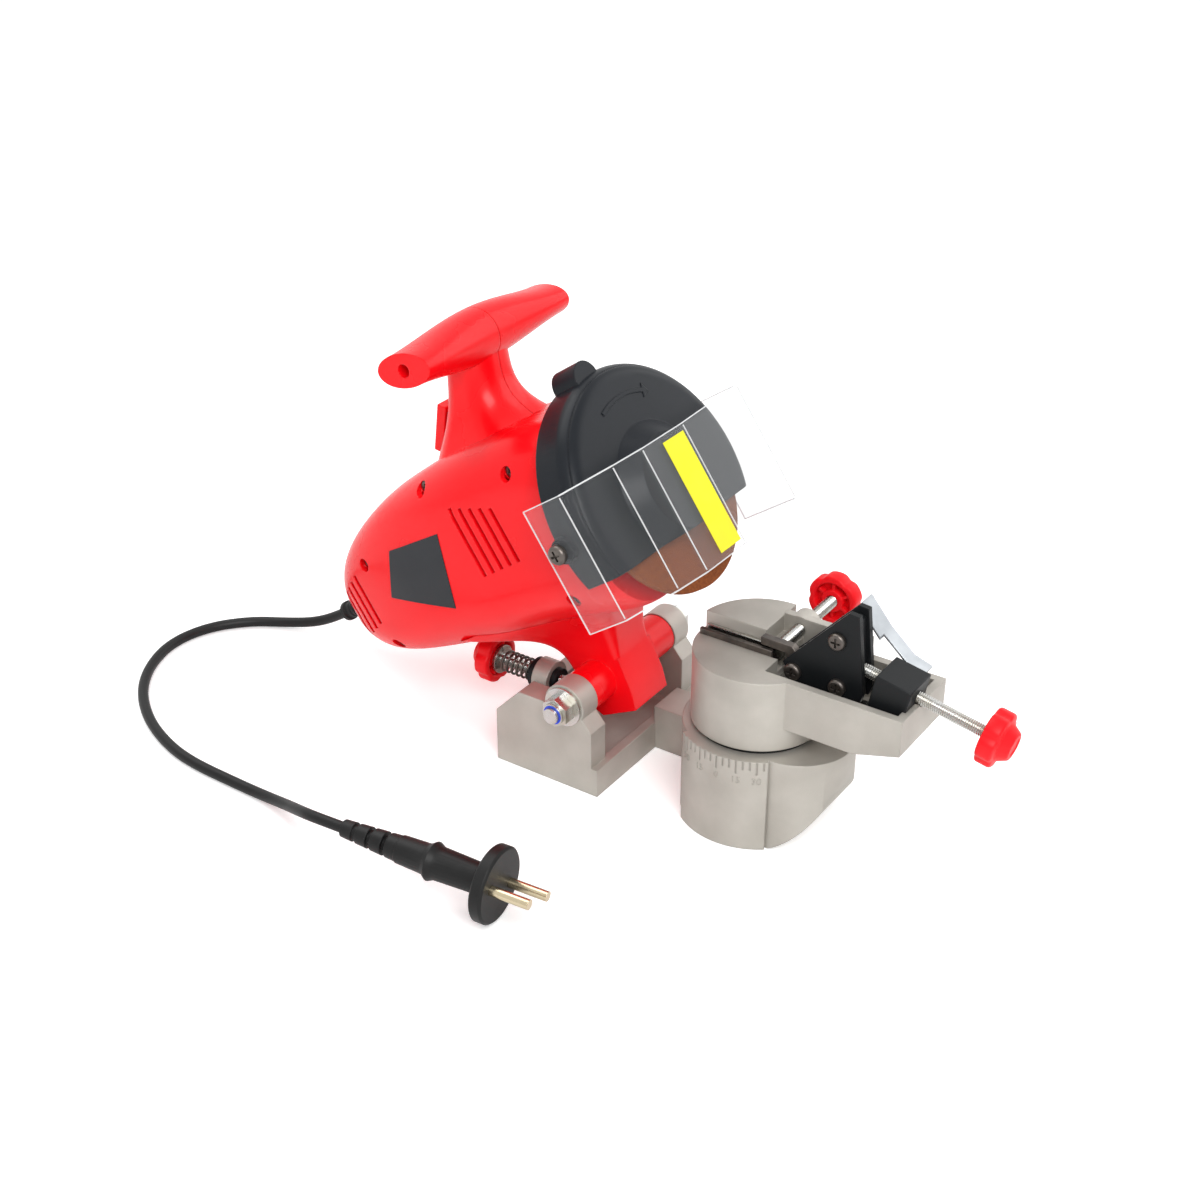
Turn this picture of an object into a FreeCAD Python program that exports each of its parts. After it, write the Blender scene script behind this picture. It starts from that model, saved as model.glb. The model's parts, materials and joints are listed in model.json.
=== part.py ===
"""Electric chainsaw sharpener: cast base with vise, tilting motor head, clear shield and mains lead.

Millimetres. X runs along the hinge of the head, -Y points forward to the vise, Z is up.
The origin is on the table below the middle of the hinge. Parts of the head are drawn in
the head's own frame (forward p, up q) and then tilted back about the hinge.
"""
import FreeCAD, Part
import math
import os

V = FreeCAD.Vector
os.makedirs("parts", exist_ok=True)

# General clearances
RUN = 0.05
GAP = 0.3

# Base block with its two hinge ears
BLOCK_HALF = 46.8
EAR_T = 12.2
BLOCK_FRONT = -18.8
BLOCK_REAR = 40.7
BLOCK_FLOOR = 8.0
LIP_T = 5.0
LIP_H = 15.0
REAR_H = 29.0
REAR_T = 9.0
EAR_TOP = 43.5
HINGE_Z = 45.5
EAR_BOSS_R = 11.0
FOOT_HOLE_R = 3.3
FOOT_HOLE_X = 26.0
FOOT_HOLE_Y = 20.0
NECK_X0 = 5.0
NECK_X1 = 38.0
NECK_H = 24.0

# Hinge fasteners
BOLT_R = 4.0
WASHER_R = 10.0
WASHER_T = 1.8
NUT_AF = 13.0
NUT_H = 8.0
RING_R = 5.6

# Vise base below the turning vise
WHEEL_X = -8.5
VISE_Y = -83.2
VISE_R = 36.9
VISE_STEP = 2.0
VISE_H = 48.4
VISE_WALL = 8.0
NOSE_Y = -104.5
NOSE_R = 27.5
SCALE_HALF_DEG = 38.0
SCALE_STEP_DEG = 5.0
SCALE_TICKS = 7
SPACER_T = 2.4
LOCK_R = 4.0

# Turning vise and its arm
HEAD_R = 31.2
VISE_TOP = 86.5
JAW_TOP = 95.0
JAW_GAP = 3.3
JAW_Y0 = -84.0
RAIL_T = 2.0
RAIL_H = 9.5
RAIL_UP = 3.0
RAIL_Y0 = -91.0
CHANNEL_Y = -94.5
RAIL_Y1 = -53.0
ARM_X0 = -28.3
ARM_X1 = 15.5
ARM_WALL = 4.0
ARM_Z0 = 62.0
ARM_END = -164.4
ARM_FAR_TOP = 96.0
ARM_FAR_END = -128.0
CLAMP_Y = -92.0
CLAMP_Z = 89.5
CLAMP_R = 3.0
CLAMP_END = 56.0

# Chain stop on the arm
STOP_TILT = 11.0
STOP_Y = -152.0
STOP_Z = 90.4
PLATE_T = 3.0
PLATE_OUT = 6.0
STOP_SCREW_R = 3.0
STOP_SCREW_OUT = 52.0
KNOB_R = 13.0
KNOB_T = 13.0

# Tilting head
TILT = 35.1
HEAD_X = -4.0
WHEEL_P = 83.5
WHEEL_Q = 72.0
WHEEL_R = 50.0
WHEEL_T = 3.2
WHEEL_BORE = 5.0
SHELL_T = 2.6
BARREL_R = 10.5
BARREL_HALF = 34.3
FOOT_HALF = 14.0
GUARD_R = 60.5
GUARD_T = 2.5
GUARD_P0 = 68.0
GUARD_P1 = 89.0
GUARD_CHORD = 50.0
DOME_R = 27.0
DOME_P = 97.0
SHIELD_T = 2.0
SHIELD_Q0 = 33.0
SHIELD_Q1 = 94.0
LUG_P = 72.0
LUG_Q = 71.0
LUG_R = 6.0
SHIELD_X0 = -74.5
SHIELD_X1 = 57.5
HANDLE_P = 25.5
HANDLE_Q = 173.0
HANDLE_HALF = 54.0
HANDLE_R = 13.2
HANDLE_ROLL = 17.0

# Motor
SPINDLE_R = 5.0
REAR_SPINDLE_R = 4.0
STATOR_R = 31.0
STATOR_BORE = 19.5
STATOR_P0 = -22.0
STATOR_P1 = 20.0
ARMATURE_R = 19.0
FAN_R = 29.0
FRONT_BEARING_R = 15.0
FRONT_WEB_P = 39.0
WEB_T = 10.0
REAR_BEARING_R = 11.0

# Depth screw behind the hinge
DEPTH_X = -9.0
DEPTH_Z = 30.0
DEPTH_R = 3.0
DEPTH_TIP_Y = 9.4
HOLDER_R = 6.0
SPRING_WIRE = 1.3
SPRING_R = 5.2
SPRING_TURNS = 6
SPRING_LEN = 21.0

# Mains lead
CORD_R = 2.75
EXIT_P = -157.0
EXIT_Q = 79.5
CORD_POINTS = [
    (-4, 184, 13.35), (-6, 198, 6.4), (-11, 215, 3.2), (-20, 232, 2.8), (-38, 247, 2.8),
    (-61, 252, 2.8), (-84, 245, 2.8), (-104, 231, 2.8), (-120, 211, 2.8), (-131, 189, 2.8),
    (-138, 164, 2.8), (-138.8, 127.4, 2.8), (-139.5, 110, 3.6),
    (-144.5, 91.5, 9.2), (-152.8, 75, 17.6), (-157.4, 61.4, 22.4)]
PLUG_TAIL = V(-155.7, 44.9, 22)
PLUG_FACE = V(-145.9, -35.7, 18.2)
PLUG_RELIEF = 30.0
PLUG_RING = 47.0
PLATE_R = 18.0
PLATE_THICK = 6.5
PIN_R = 2.4
PIN_LEN = 19.0
PIN_PITCH = 18.6
PIN_SLANT = 17.5


def box(x0, x1, y0, y1, z0, z1):
    """Return the box between two corners."""
    return Part.makeBox(x1 - x0, y1 - y0, z1 - z0, V(x0, y0, z0))


def cyl(radius, start, end):
    """Return the cylinder between two points."""
    axis = V(*end) - V(*start)
    return Part.makeCylinder(radius, axis.Length, V(*start), axis)


def prism_x(points, x0, x1):
    """Return the solid whose outline of (y, z) points runs from x0 to x1."""
    corners = [V(x0, y, z) for y, z in points]
    face = Part.Face(Part.makePolygon(corners + corners[:1]))
    return face.extrude(V(x1 - x0, 0, 0))


def hexagon(across, start, direction, height):
    """Return a hexagonal prism of the given width across flats."""
    corner = across / math.sqrt(3)
    ring = [V(corner * math.cos(math.pi * i / 3), corner * math.sin(math.pi * i / 3), 0) for i in range(7)]
    solid = Part.Face(Part.makePolygon(ring)).extrude(V(0, 0, height))
    solid.Placement = FreeCAD.Placement(V(*start), FreeCAD.Rotation(V(0, 0, 1), V(*direction)))
    return solid


def fuse(shapes):
    """Return the joined solid of several shapes."""
    return shapes[0].multiFuse(shapes[1:]).removeSplitter()


def knob(start, direction):
    """Return a lobed knob whose boss points along the direction."""
    core = Part.makeCylinder(KNOB_R, KNOB_T * 0.62)
    core = core.makeFillet(KNOB_R * 0.12, [edge for edge in core.Edges if edge.Closed and len(edge.Vertexes) == 1])
    for i in range(6):
        angle = math.pi * (i + 0.5) / 3
        place = V(KNOB_R * 1.12 * math.cos(angle), KNOB_R * 1.12 * math.sin(angle), -1)
        core = core.cut(Part.makeCylinder(KNOB_R * 0.25, KNOB_T, place))
    boss = Part.makeCone(KNOB_R * 0.66, KNOB_R * 0.42, KNOB_T * 0.38, V(0, 0, KNOB_T * 0.62))
    solid = fuse([core, boss])
    pocket = Part.makeCylinder(KNOB_R * 0.7, KNOB_T * 0.35).cut(Part.makeCylinder(KNOB_R * 0.42, KNOB_T * 0.35))
    solid = solid.cut(pocket)
    for i in range(3):
        rib = Part.makeBox(KNOB_R * 1.44, 1.6, KNOB_T * 0.36, V(-KNOB_R * 0.72, -0.8, 0))
        rib.rotate(V(0, 0, 0), V(0, 0, 1), 60 * i + 30)
        solid = solid.fuse(rib)
    solid.Placement = FreeCAD.Placement(V(*start), FreeCAD.Rotation(V(0, 0, 1), V(*direction)))
    return solid.removeSplitter()


def pan_screw(seat, direction, radius, length, head_r, head_h):
    """Return a cross-recess screw whose head sits on seat and whose shank runs against the direction."""
    head = Part.makeCylinder(head_r, head_h)
    head = head.makeFillet(head_h * 0.6, [head.Edges[0]])
    shank = Part.makeCylinder(radius, length, V(0, 0, -length))
    solid = head.fuse(shank)
    for turn in (0, 90):
        slot = Part.makeBox(head_r * 1.1, head_r * 0.24, head_h * 0.6, V(-head_r * 0.55, -head_r * 0.12, head_h * 0.45))
        slot.rotate(V(0, 0, 0), V(0, 0, 1), turn)
        solid = solid.cut(slot)
    solid.Placement = FreeCAD.Placement(V(*seat), FreeCAD.Rotation(V(0, 0, 1), V(*direction)))
    return solid


def section(p, x_mid, half_w, q0, q1, corner):
    """Return a rounded rectangular wire across the head at p."""
    x0, x1 = x_mid - half_w, x_mid + half_w
    c = corner
    k = c * (1 - math.sqrt(0.5))
    y = -p
    arcs = [
        (V(x0, y, q0 + c), V(x0 + k, y, q0 + k), V(x0 + c, y, q0)),
        (V(x1 - c, y, q0), V(x1 - k, y, q0 + k), V(x1, y, q0 + c)),
        (V(x1, y, q1 - c), V(x1 - k, y, q1 - k), V(x1 - c, y, q1)),
        (V(x0 + c, y, q1), V(x0 + k, y, q1 - k), V(x0, y, q1 - c))]
    edges = []
    for i, arc in enumerate(arcs):
        edges.append(Part.Arc(*arc).toShape())
        edges.append(Part.LineSegment(arc[2], arcs[(i + 1) % 4][0]).toShape())
    return Part.Wire(edges)


def flat_section(z, x_mid, half_w, p0, p1, corner):
    """Return a rounded rectangular wire at height z of the head."""
    wire = section(0, x_mid, half_w, p0, p1, corner)
    wire.rotate(V(0, 0, 0), V(1, 0, 0), 90)
    wire.translate(V(0, 0, z))
    return wire


def along(p, x, q):
    """Return a point of the head's frame."""
    return (x, -p, q)


def tilt(shape):
    """Turn a shape of the head's frame into its place on the hinge."""
    moved = shape.copy()
    moved.rotate(V(0, 0, 0), V(1, 0, 0), -TILT)
    moved.translate(V(0, 0, HINGE_Z))
    return moved


def head_point(p, x, q):
    """Return a head point in the frame of the whole part."""
    c, s = math.cos(math.radians(TILT)), math.sin(math.radians(TILT))
    return V(x, -p * c + q * s, HINGE_Z + p * s + q * c)


def ring(outer, inner, p0, p1):
    """Return a ring about the wheel axis."""
    solid = cyl(outer, along(p0, WHEEL_X, WHEEL_Q), along(p1, WHEEL_X, WHEEL_Q))
    return solid.cut(cyl(inner, along(p0 - 1, WHEEL_X, WHEEL_Q), along(p1 + 1, WHEEL_X, WHEEL_Q))) if inner else solid


def strip(points, thickness):
    """Return the corner points of a bent sheet of even thickness, drawn on its inner line."""
    outer = []
    last = len(points) - 1
    for i, (a, b) in enumerate(points):
        before = points[max(i - 1, 0)]
        after = points[min(i + 1, last)]
        n1 = V(b - before[1], before[0] - a, 0) if i > 0 else V(after[1] - b, a - after[0], 0)
        n2 = V(after[1] - b, a - after[0], 0) if i < last else n1
        n1.normalize()
        n2.normalize()
        mid = n1 + n2
        mid.normalize()
        reach = thickness / mid.dot(n1)
        outer.append((a - mid.x * reach, b - mid.y * reach))
    return points + outer[::-1]


def rounded_path(points):
    """Return a wire of straight runs joined by tangent arcs, and its radii."""
    edges = []
    radii = []
    at = points[0]
    for before, corner, after in zip(points, points[1:], points[2:]):
        into = corner - before
        out = after - corner
        run = 0.45 * min(into.Length, out.Length)
        into.normalize()
        out.normalize()
        half = into.getAngle(out) / 2
        radius = run / math.tan(half)
        radii.append(radius)
        start = corner - into * run
        end = corner + out * run
        inward = (out - into)
        inward.normalize()
        middle = corner + inward * (radius / math.cos(half) - radius)
        edges.append(Part.LineSegment(at, start).toShape())
        edges.append(Part.Arc(start, middle, end).toShape())
        at = end
    edges.append(Part.LineSegment(at, points[-1]).toShape())
    return Part.Wire(edges), radii


def sweep(wire, radius):
    """Return a round tube along a wire."""
    start = wire.Edges[0].valueAt(wire.Edges[0].FirstParameter)
    tangent = wire.Edges[0].tangentAt(wire.Edges[0].FirstParameter)
    circle = Part.Wire(Part.makeCircle(radius, start, tangent))
    return wire.makePipeShell([circle], True, False)


def helix_wire(radius, pitch, turns, start):
    """Return a helix along +Y made of arcs of a quarter turn each."""
    steps = turns * 8
    places = []
    for i in range(steps + 1):
        angle = 2 * math.pi * i / 8
        places.append(start + V(radius * math.cos(angle), pitch * i / 8, radius * math.sin(angle)))
    arcs = [Part.Arc(places[i], places[i + 1], places[i + 2]).toShape() for i in range(0, steps, 2)]
    return Part.Wire(arcs)


PARTS = {}


def keep(name, shape):
    """Record one sub-part under its name."""
    PARTS[name] = shape


def make_base():
    """Base casting, its fasteners and the spacer under the vise."""
    profile = [
        (BLOCK_FRONT + LIP_T - 1.5, 0), (BLOCK_REAR, 0), (BLOCK_REAR, REAR_H), (BLOCK_REAR - 14, EAR_TOP),
        (BLOCK_FRONT + LIP_T + 6, EAR_TOP), (BLOCK_FRONT + LIP_T - 1.5, EAR_TOP - 9)]
    body = [box(-BLOCK_HALF, BLOCK_HALF, BLOCK_FRONT, BLOCK_REAR, 0, BLOCK_FLOOR)]
    body.append(box(-BLOCK_HALF, BLOCK_HALF, BLOCK_FRONT, BLOCK_FRONT + LIP_T, 0, LIP_H))
    body.append(box(-BLOCK_HALF, BLOCK_HALF, BLOCK_REAR - REAR_T, BLOCK_REAR, 0, REAR_H))
    for x0 in (-BLOCK_HALF, BLOCK_HALF - EAR_T):
        body.append(prism_x(profile, x0, x0 + EAR_T))
        body.append(cyl(EAR_BOSS_R, (x0, 0, HINGE_Z), (x0 + EAR_T, 0, HINGE_Z)))
    holder = cyl(HOLDER_R + 3, (DEPTH_X, BLOCK_REAR - REAR_T, DEPTH_Z), (DEPTH_X, BLOCK_REAR, DEPTH_Z))
    body.append(holder)
    body.append(box(DEPTH_X - HOLDER_R - 3, DEPTH_X + HOLDER_R + 3, BLOCK_REAR - REAR_T, BLOCK_REAR, 0, DEPTH_Z))
    body.append(box(NECK_X0, NECK_X1 - 12, VISE_Y + VISE_R - 14, BLOCK_FRONT + 1, 0, NECK_H))
    vise = cyl(VISE_R - VISE_STEP, (WHEEL_X, VISE_Y, 0), (WHEEL_X, VISE_Y, VISE_H))
    nose = cyl(NOSE_R, (WHEEL_X, NOSE_Y, 0), (WHEEL_X, NOSE_Y, VISE_H))
    side = VISE_R - VISE_STEP
    web = box(WHEEL_X - NOSE_R, WHEEL_X + NOSE_R, NOSE_Y, VISE_Y, 0, VISE_H)
    flange = cyl(VISE_R, (WHEEL_X, VISE_Y, 0), (WHEEL_X, VISE_Y, VISE_H))
    wedge_r = VISE_R * 1.6
    half = math.radians(SCALE_HALF_DEG)
    corners = [V(WHEEL_X, VISE_Y, 0)]
    corners.append(V(WHEEL_X - wedge_r * math.cos(half), VISE_Y - wedge_r * math.sin(half), 0))
    corners.append(V(WHEEL_X - wedge_r * math.cos(half), VISE_Y + wedge_r * math.sin(half), 0))
    wedge = Part.Face(Part.makePolygon(corners + corners[:1])).extrude(V(0, 0, VISE_H))
    column = fuse([vise, nose, web, flange.common(wedge)])
    front = NOSE_Y - NOSE_R
    cutter = Part.Wire([
        Part.LineSegment(V(-60, front - 5, -1), V(-60, front + 26, -1)).toShape(),
        Part.LineSegment(V(-60, front + 26, -1), V(-60, front + 25, 0)).toShape(),
        Part.Arc(V(-60, front + 25, 0), V(-60, front + 8.5, 15), V(-60, front, 40)).toShape(),
        Part.LineSegment(V(-60, front, 40), V(-60, front - 5, 40)).toShape(),
        Part.LineSegment(V(-60, front - 5, 40), V(-60, front - 5, -1)).toShape()])
    column = column.cut(Part.Face(cutter).extrude(V(120, 0, 0)))
    body.append(column)
    casting = fuse(body)
    hollow = cyl(side - VISE_WALL, (WHEEL_X, VISE_Y, -1), (WHEEL_X, VISE_Y, VISE_H - VISE_WALL))
    casting = casting.cut(hollow)
    for i in range(-SCALE_TICKS, SCALE_TICKS + 1):
        deep = 7.0 if i % 3 == 0 else 4.5
        tick = box(-VISE_R - 1, -VISE_R + 0.5, -0.35, 0.35, VISE_H - deep, VISE_H + 1)
        tick.rotate(V(0, 0, 0), V(0, 0, 1), i * SCALE_STEP_DEG)
        tick.translate(V(WHEEL_X, VISE_Y, 0))
        casting = casting.cut(tick)
    casting = casting.cut(cyl(BOLT_R, (-BLOCK_HALF - 1, 0, HINGE_Z), (BLOCK_HALF + 1, 0, HINGE_Z)))
    casting = casting.cut(cyl(LOCK_R, (WHEEL_X, VISE_Y, 0), (WHEEL_X, VISE_Y, VISE_H + 1)))
    casting = casting.cut(cyl(HOLDER_R, (DEPTH_X, BLOCK_REAR - REAR_T - 3, DEPTH_Z), (DEPTH_X, BLOCK_REAR + 1, DEPTH_Z)))
    for x in (-FOOT_HOLE_X, FOOT_HOLE_X):
        casting = casting.cut(cyl(FOOT_HOLE_R, (x, FOOT_HOLE_Y, -1), (x, FOOT_HOLE_Y, BLOCK_FLOOR + 1)))
    keep("base_casting", casting)

    end = BLOCK_HALF + WASHER_T
    rod = cyl(BOLT_R, (-end - NUT_H - 2, 0, HINGE_Z), (end, 0, HINGE_Z))
    keep("hinge_bolt", fuse([rod, hexagon(NUT_AF, (end, 0, HINGE_Z), (1, 0, 0), 5.3)]))
    for name, x0 in (("hinge_washer_near", -end), ("hinge_washer_far", BLOCK_HALF)):
        washer = cyl(WASHER_R, (x0, 0, HINGE_Z), (x0 + WASHER_T, 0, HINGE_Z))
        keep(name, washer.cut(cyl(BOLT_R, (x0 - 1, 0, HINGE_Z), (x0 + 3, 0, HINGE_Z))))
    nut = hexagon(NUT_AF, (-end, 0, HINGE_Z), (-1, 0, 0), NUT_H * 0.8)
    collar = cyl(RING_R, (-end - NUT_H * 0.8, 0, HINGE_Z), (-end - NUT_H, 0, HINGE_Z))
    nut = fuse([nut, collar]).cut(cyl(BOLT_R, (-end - NUT_H - 1, 0, HINGE_Z), (-end + 1, 0, HINGE_Z)))
    keep("hinge_nut", nut.cut(cyl(RING_R - 0.7, (-end - NUT_H - 1, 0, HINGE_Z), (-end - NUT_H * 0.75, 0, HINGE_Z))))
    insert = cyl(RING_R - 0.7, (-end - NUT_H * 0.75, 0, HINGE_Z), (-end - NUT_H, 0, HINGE_Z))
    keep("nut_nylon_ring", insert.cut(cyl(BOLT_R, (-end - NUT_H - 1, 0, HINGE_Z), (-end, 0, HINGE_Z))))

    spacer = cyl(HEAD_R - 2, (WHEEL_X, VISE_Y, VISE_H), (WHEEL_X, VISE_Y, VISE_H + SPACER_T - RUN))
    keep("vise_spacer", spacer.cut(cyl(LOCK_R, (WHEEL_X, VISE_Y, 0), (WHEEL_X, VISE_Y, VISE_H + 9))))
    under = VISE_H - VISE_WALL
    bolt = cyl(LOCK_R, (WHEEL_X, VISE_Y, under - 12), (WHEEL_X, VISE_Y, VISE_TOP - 14))
    keep("vise_pivot_bolt", bolt)
    disc = cyl(12, (WHEEL_X, VISE_Y, under - 2), (WHEEL_X, VISE_Y, under))
    keep("vise_pivot_washer", disc.cut(cyl(LOCK_R, (WHEEL_X, VISE_Y, 0), (WHEEL_X, VISE_Y, 60))))
    nut = hexagon(NUT_AF, (WHEEL_X, VISE_Y, under - 2), (0, 0, -1), 7)
    keep("vise_pivot_nut", nut.cut(cyl(LOCK_R, (WHEEL_X, VISE_Y, 0), (WHEEL_X, VISE_Y, 60))))


def make_depth_screw():
    """Depth screw with its holder, spring, washer and knob."""
    y0 = BLOCK_REAR - REAR_T - 3
    bush = cyl(HOLDER_R, (DEPTH_X, y0, DEPTH_Z), (DEPTH_X, BLOCK_REAR + 3, DEPTH_Z))
    rim = cyl(HOLDER_R + 2, (DEPTH_X, BLOCK_REAR, DEPTH_Z), (DEPTH_X, BLOCK_REAR + 3, DEPTH_Z))
    holder = fuse([bush, rim]).cut(cyl(DEPTH_R + RUN, (DEPTH_X, 0, DEPTH_Z), (DEPTH_X, 90, DEPTH_Z)))
    keep("depth_screw_holder", holder)
    start = BLOCK_REAR + 3
    far = start + SPRING_LEN
    pitch = (SPRING_LEN - 2 * SPRING_WIRE) / SPRING_TURNS
    wire = helix_wire(SPRING_R, pitch, SPRING_TURNS, V(DEPTH_X, start + SPRING_WIRE, DEPTH_Z))
    keep("depth_spring", sweep(wire, SPRING_WIRE / 2))
    print("depth spring least gap between turns", round(pitch - SPRING_WIRE, 2))
    washer = cyl(HOLDER_R + 1.5, (DEPTH_X, far, DEPTH_Z), (DEPTH_X, far + 1.5, DEPTH_Z))
    keep("depth_spring_washer", washer.cut(cyl(DEPTH_R + RUN, (DEPTH_X, 0, DEPTH_Z), (DEPTH_X, 99, DEPTH_Z))))
    knob_y = far + 1.5 + RUN
    keep("depth_screw", cyl(DEPTH_R, (DEPTH_X, DEPTH_TIP_Y, DEPTH_Z), (DEPTH_X, knob_y + 8, DEPTH_Z)))
    grip = knob((DEPTH_X, knob_y, DEPTH_Z), (0, 1, 0))
    keep("depth_knob", grip.cut(cyl(DEPTH_R, (DEPTH_X, 0, DEPTH_Z), (DEPTH_X, knob_y + 8, DEPTH_Z))))


def stop_line(distance, lift=0.0):
    """Return a (y, z) point on the tilted screw line, measured outward from the nut block."""
    c, s = math.cos(math.radians(STOP_TILT)), math.sin(math.radians(STOP_TILT))
    return (STOP_Y - distance * c - lift * s, STOP_Z - distance * s + lift * c)


def stop_rod(radius, near, far, x=WHEEL_X, lift=0.0):
    """Return a rod on the tilted screw line."""
    return cyl(radius, (x, *stop_line(near, lift)), (x, *stop_line(far, lift)))


def nut_block_solid():
    """Return the outer form of the black nut block at the end of the arm."""
    block = box(WHEEL_X - 12, WHEEL_X + 8, STOP_Y - 10.5, STOP_Y + 7, STOP_Z - 11, STOP_Z + 8.5)
    block.rotate(V(WHEEL_X, STOP_Y, STOP_Z), V(1, 0, 0), STOP_TILT)
    post = box(WHEEL_X - 10, WHEEL_X + 8, STOP_Y - 6, STOP_Y + 6, ARM_Z0 + ARM_WALL, STOP_Z)
    return fuse([block, post])


def make_vise():
    """Turning vise, its rails, clamp plate and clamp screw."""
    z0 = VISE_H + SPACER_T
    drum = cyl(HEAD_R, (WHEEL_X, VISE_Y, z0), (WHEEL_X, VISE_Y, JAW_TOP))
    drum = drum.cut(box(-60, WHEEL_X + JAW_GAP, -140, 0, VISE_TOP, 120))
    drum = drum.cut(box(-60, 60, -140, JAW_Y0, VISE_TOP, 120))
    arm = box(ARM_X0, ARM_X1, ARM_END, VISE_Y - 12, ARM_Z0, VISE_TOP)
    wall = box(ARM_X1 - ARM_WALL, ARM_X1, ARM_FAR_END, JAW_Y0, ARM_Z0, ARM_FAR_TOP)
    boss = cyl(CLAMP_R + 4, (ARM_X1 - ARM_WALL, CLAMP_Y, CLAMP_Z), (ARM_X1 + 5, CLAMP_Y, CLAMP_Z))
    slope = prism_x([(ARM_END - 1, ARM_Z0 - 1), (ARM_END + 26, ARM_Z0 - 1), (ARM_END - 1, ARM_Z0 + 7)], -60, 60)
    head = fuse([drum, arm.cut(slope)])
    channel = box(ARM_X0 + ARM_WALL, ARM_X1 - ARM_WALL, ARM_END + ARM_WALL, CHANNEL_Y, ARM_Z0 + ARM_WALL, 120)
    head = fuse([head.cut(channel).cut(nut_block_solid()), wall, boss])
    groove = box(WHEEL_X - RAIL_T * 2, WHEEL_X + JAW_GAP, CHANNEL_Y - 1, RAIL_Y1, VISE_TOP + RAIL_UP - RAIL_H, 120)
    head = head.cut(groove)
    head = head.cut(cyl(CLAMP_R + RUN, (WHEEL_X, CLAMP_Y, CLAMP_Z), (60, CLAMP_Y, CLAMP_Z)))
    head = head.cut(stop_rod(STOP_SCREW_R + GAP, -45, 60))
    head = head.cut(cyl(LOCK_R + RUN, (WHEEL_X, VISE_Y, 0), (WHEEL_X, VISE_Y, VISE_TOP - 14 + GAP)))
    keep("vise_head", head)
    rail_z = VISE_TOP + RAIL_UP - RAIL_H
    top = VISE_TOP + RAIL_UP
    keep("near_rail", box(WHEEL_X - 2 * RAIL_T, WHEEL_X - RAIL_T, RAIL_Y0, RAIL_Y1, rail_z, top))
    plate = box(WHEEL_X + JAW_GAP - GAP - RAIL_T, WHEEL_X + JAW_GAP - GAP, CHANNEL_Y, RAIL_Y1 - 1,
                rail_z + GAP, top)
    keep("clamp_plate", plate)
    tip = WHEEL_X + JAW_GAP - GAP
    knob_x = CLAMP_END - KNOB_T
    keep("clamp_screw", cyl(CLAMP_R, (tip, CLAMP_Y, CLAMP_Z), (knob_x + 8, CLAMP_Y, CLAMP_Z)))
    grip = knob((knob_x, CLAMP_Y, CLAMP_Z), (1, 0, 0))
    keep("clamp_knob", grip.cut(cyl(CLAMP_R, (0, CLAMP_Y, CLAMP_Z), (knob_x + 8, CLAMP_Y, CLAMP_Z))))


def make_stop():
    """Chain stop: plates, spacer, pawl, spring lever, guide bar, nut block and adjusting screw."""
    outline = [(-98, 88), (-103, 79), (-137, 79), (-138.5, 84), (-134, 122), (-129, 122.5)]
    holes = [(-124.5, 107.0), (-103.5, 84.5), (-126.0, 84.0)]
    plates = {}
    for name, x0 in (("stop_plate_near", WHEEL_X - PLATE_OUT), ("stop_plate_far", WHEEL_X + PLATE_OUT - PLATE_T)):
        plates[name] = prism_x(outline, x0, x0 + PLATE_T)
    inner = PLATE_OUT - PLATE_T
    spacer = prism_x([(-110, 92), (-116, 86), (-136, 86), (-133, 118), (-130, 119)], WHEEL_X - inner, WHEEL_X + inner)
    spacer = spacer.cut(stop_rod(STOP_SCREW_R + RUN, -60, 60))
    shanks = []
    for y, z in holes:
        shanks.append(cyl(1.6, (WHEEL_X - PLATE_OUT - 1, y, z), (WHEEL_X + PLATE_OUT + 1, y, z)))
    for name, plate in plates.items():
        for shank in shanks:
            plate = plate.cut(shank)
        keep(name, plate)
    for shank in shanks:
        spacer = spacer.cut(shank)
    keep("stop_spacer", spacer)
    screws = []
    for y, z in holes:
        screws.append(pan_screw((WHEEL_X - PLATE_OUT, y, z), (-1, 0, 0), 1.6, 2 * PLATE_OUT, 4.2, 2.4))
    keep("stop_screws", Part.makeCompound(screws))
    y, z = holes[1]
    pawl = [(y - 4, z - 3), (y - 4, z + 3.5), (y + 3, z + 10), (-84.5, 94.5), (-84.5, 90.6), (-97.5, 90.2), (y + 4, z - 3)]
    finger = prism_x(pawl, WHEEL_X - inner + GAP, WHEEL_X + inner - 6 * GAP)
    keep("stop_pawl", finger.cut(cyl(1.6 + RUN, (-30, y, z), (30, y, z))))
    leaf = strip([(-128, 121), (-139, 108), (-151, 97.5), (-160, 94.5)], 1.2)
    lever = prism_x(leaf, WHEEL_X + PLATE_OUT, WHEEL_X + PLATE_OUT + 12)
    keep("stop_lever", lever.cut(box(-60, WHEEL_X + 10, ARM_END, STOP_Y + 13, 0, 120)))
    keep("nut_block", nut_block_solid().cut(stop_rod(STOP_SCREW_R + RUN, -60, 60)))
    guide = box(WHEEL_X - 2, WHEEL_X + 2, -146, CHANNEL_Y, 70.5, 76.5)
    keep("guide_bar", guide)
    inner_end = -38.0
    keep("adjusting_screw", stop_rod(STOP_SCREW_R, inner_end, STOP_SCREW_OUT))
    y, z = stop_line(STOP_SCREW_OUT - 8)
    slant = math.radians(STOP_TILT)
    direction = (0, -math.cos(slant), -math.sin(slant))
    grip = knob((WHEEL_X, y, z), direction)
    keep("adjusting_knob", grip.cut(stop_rod(STOP_SCREW_R, 0, STOP_SCREW_OUT)))


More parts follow.
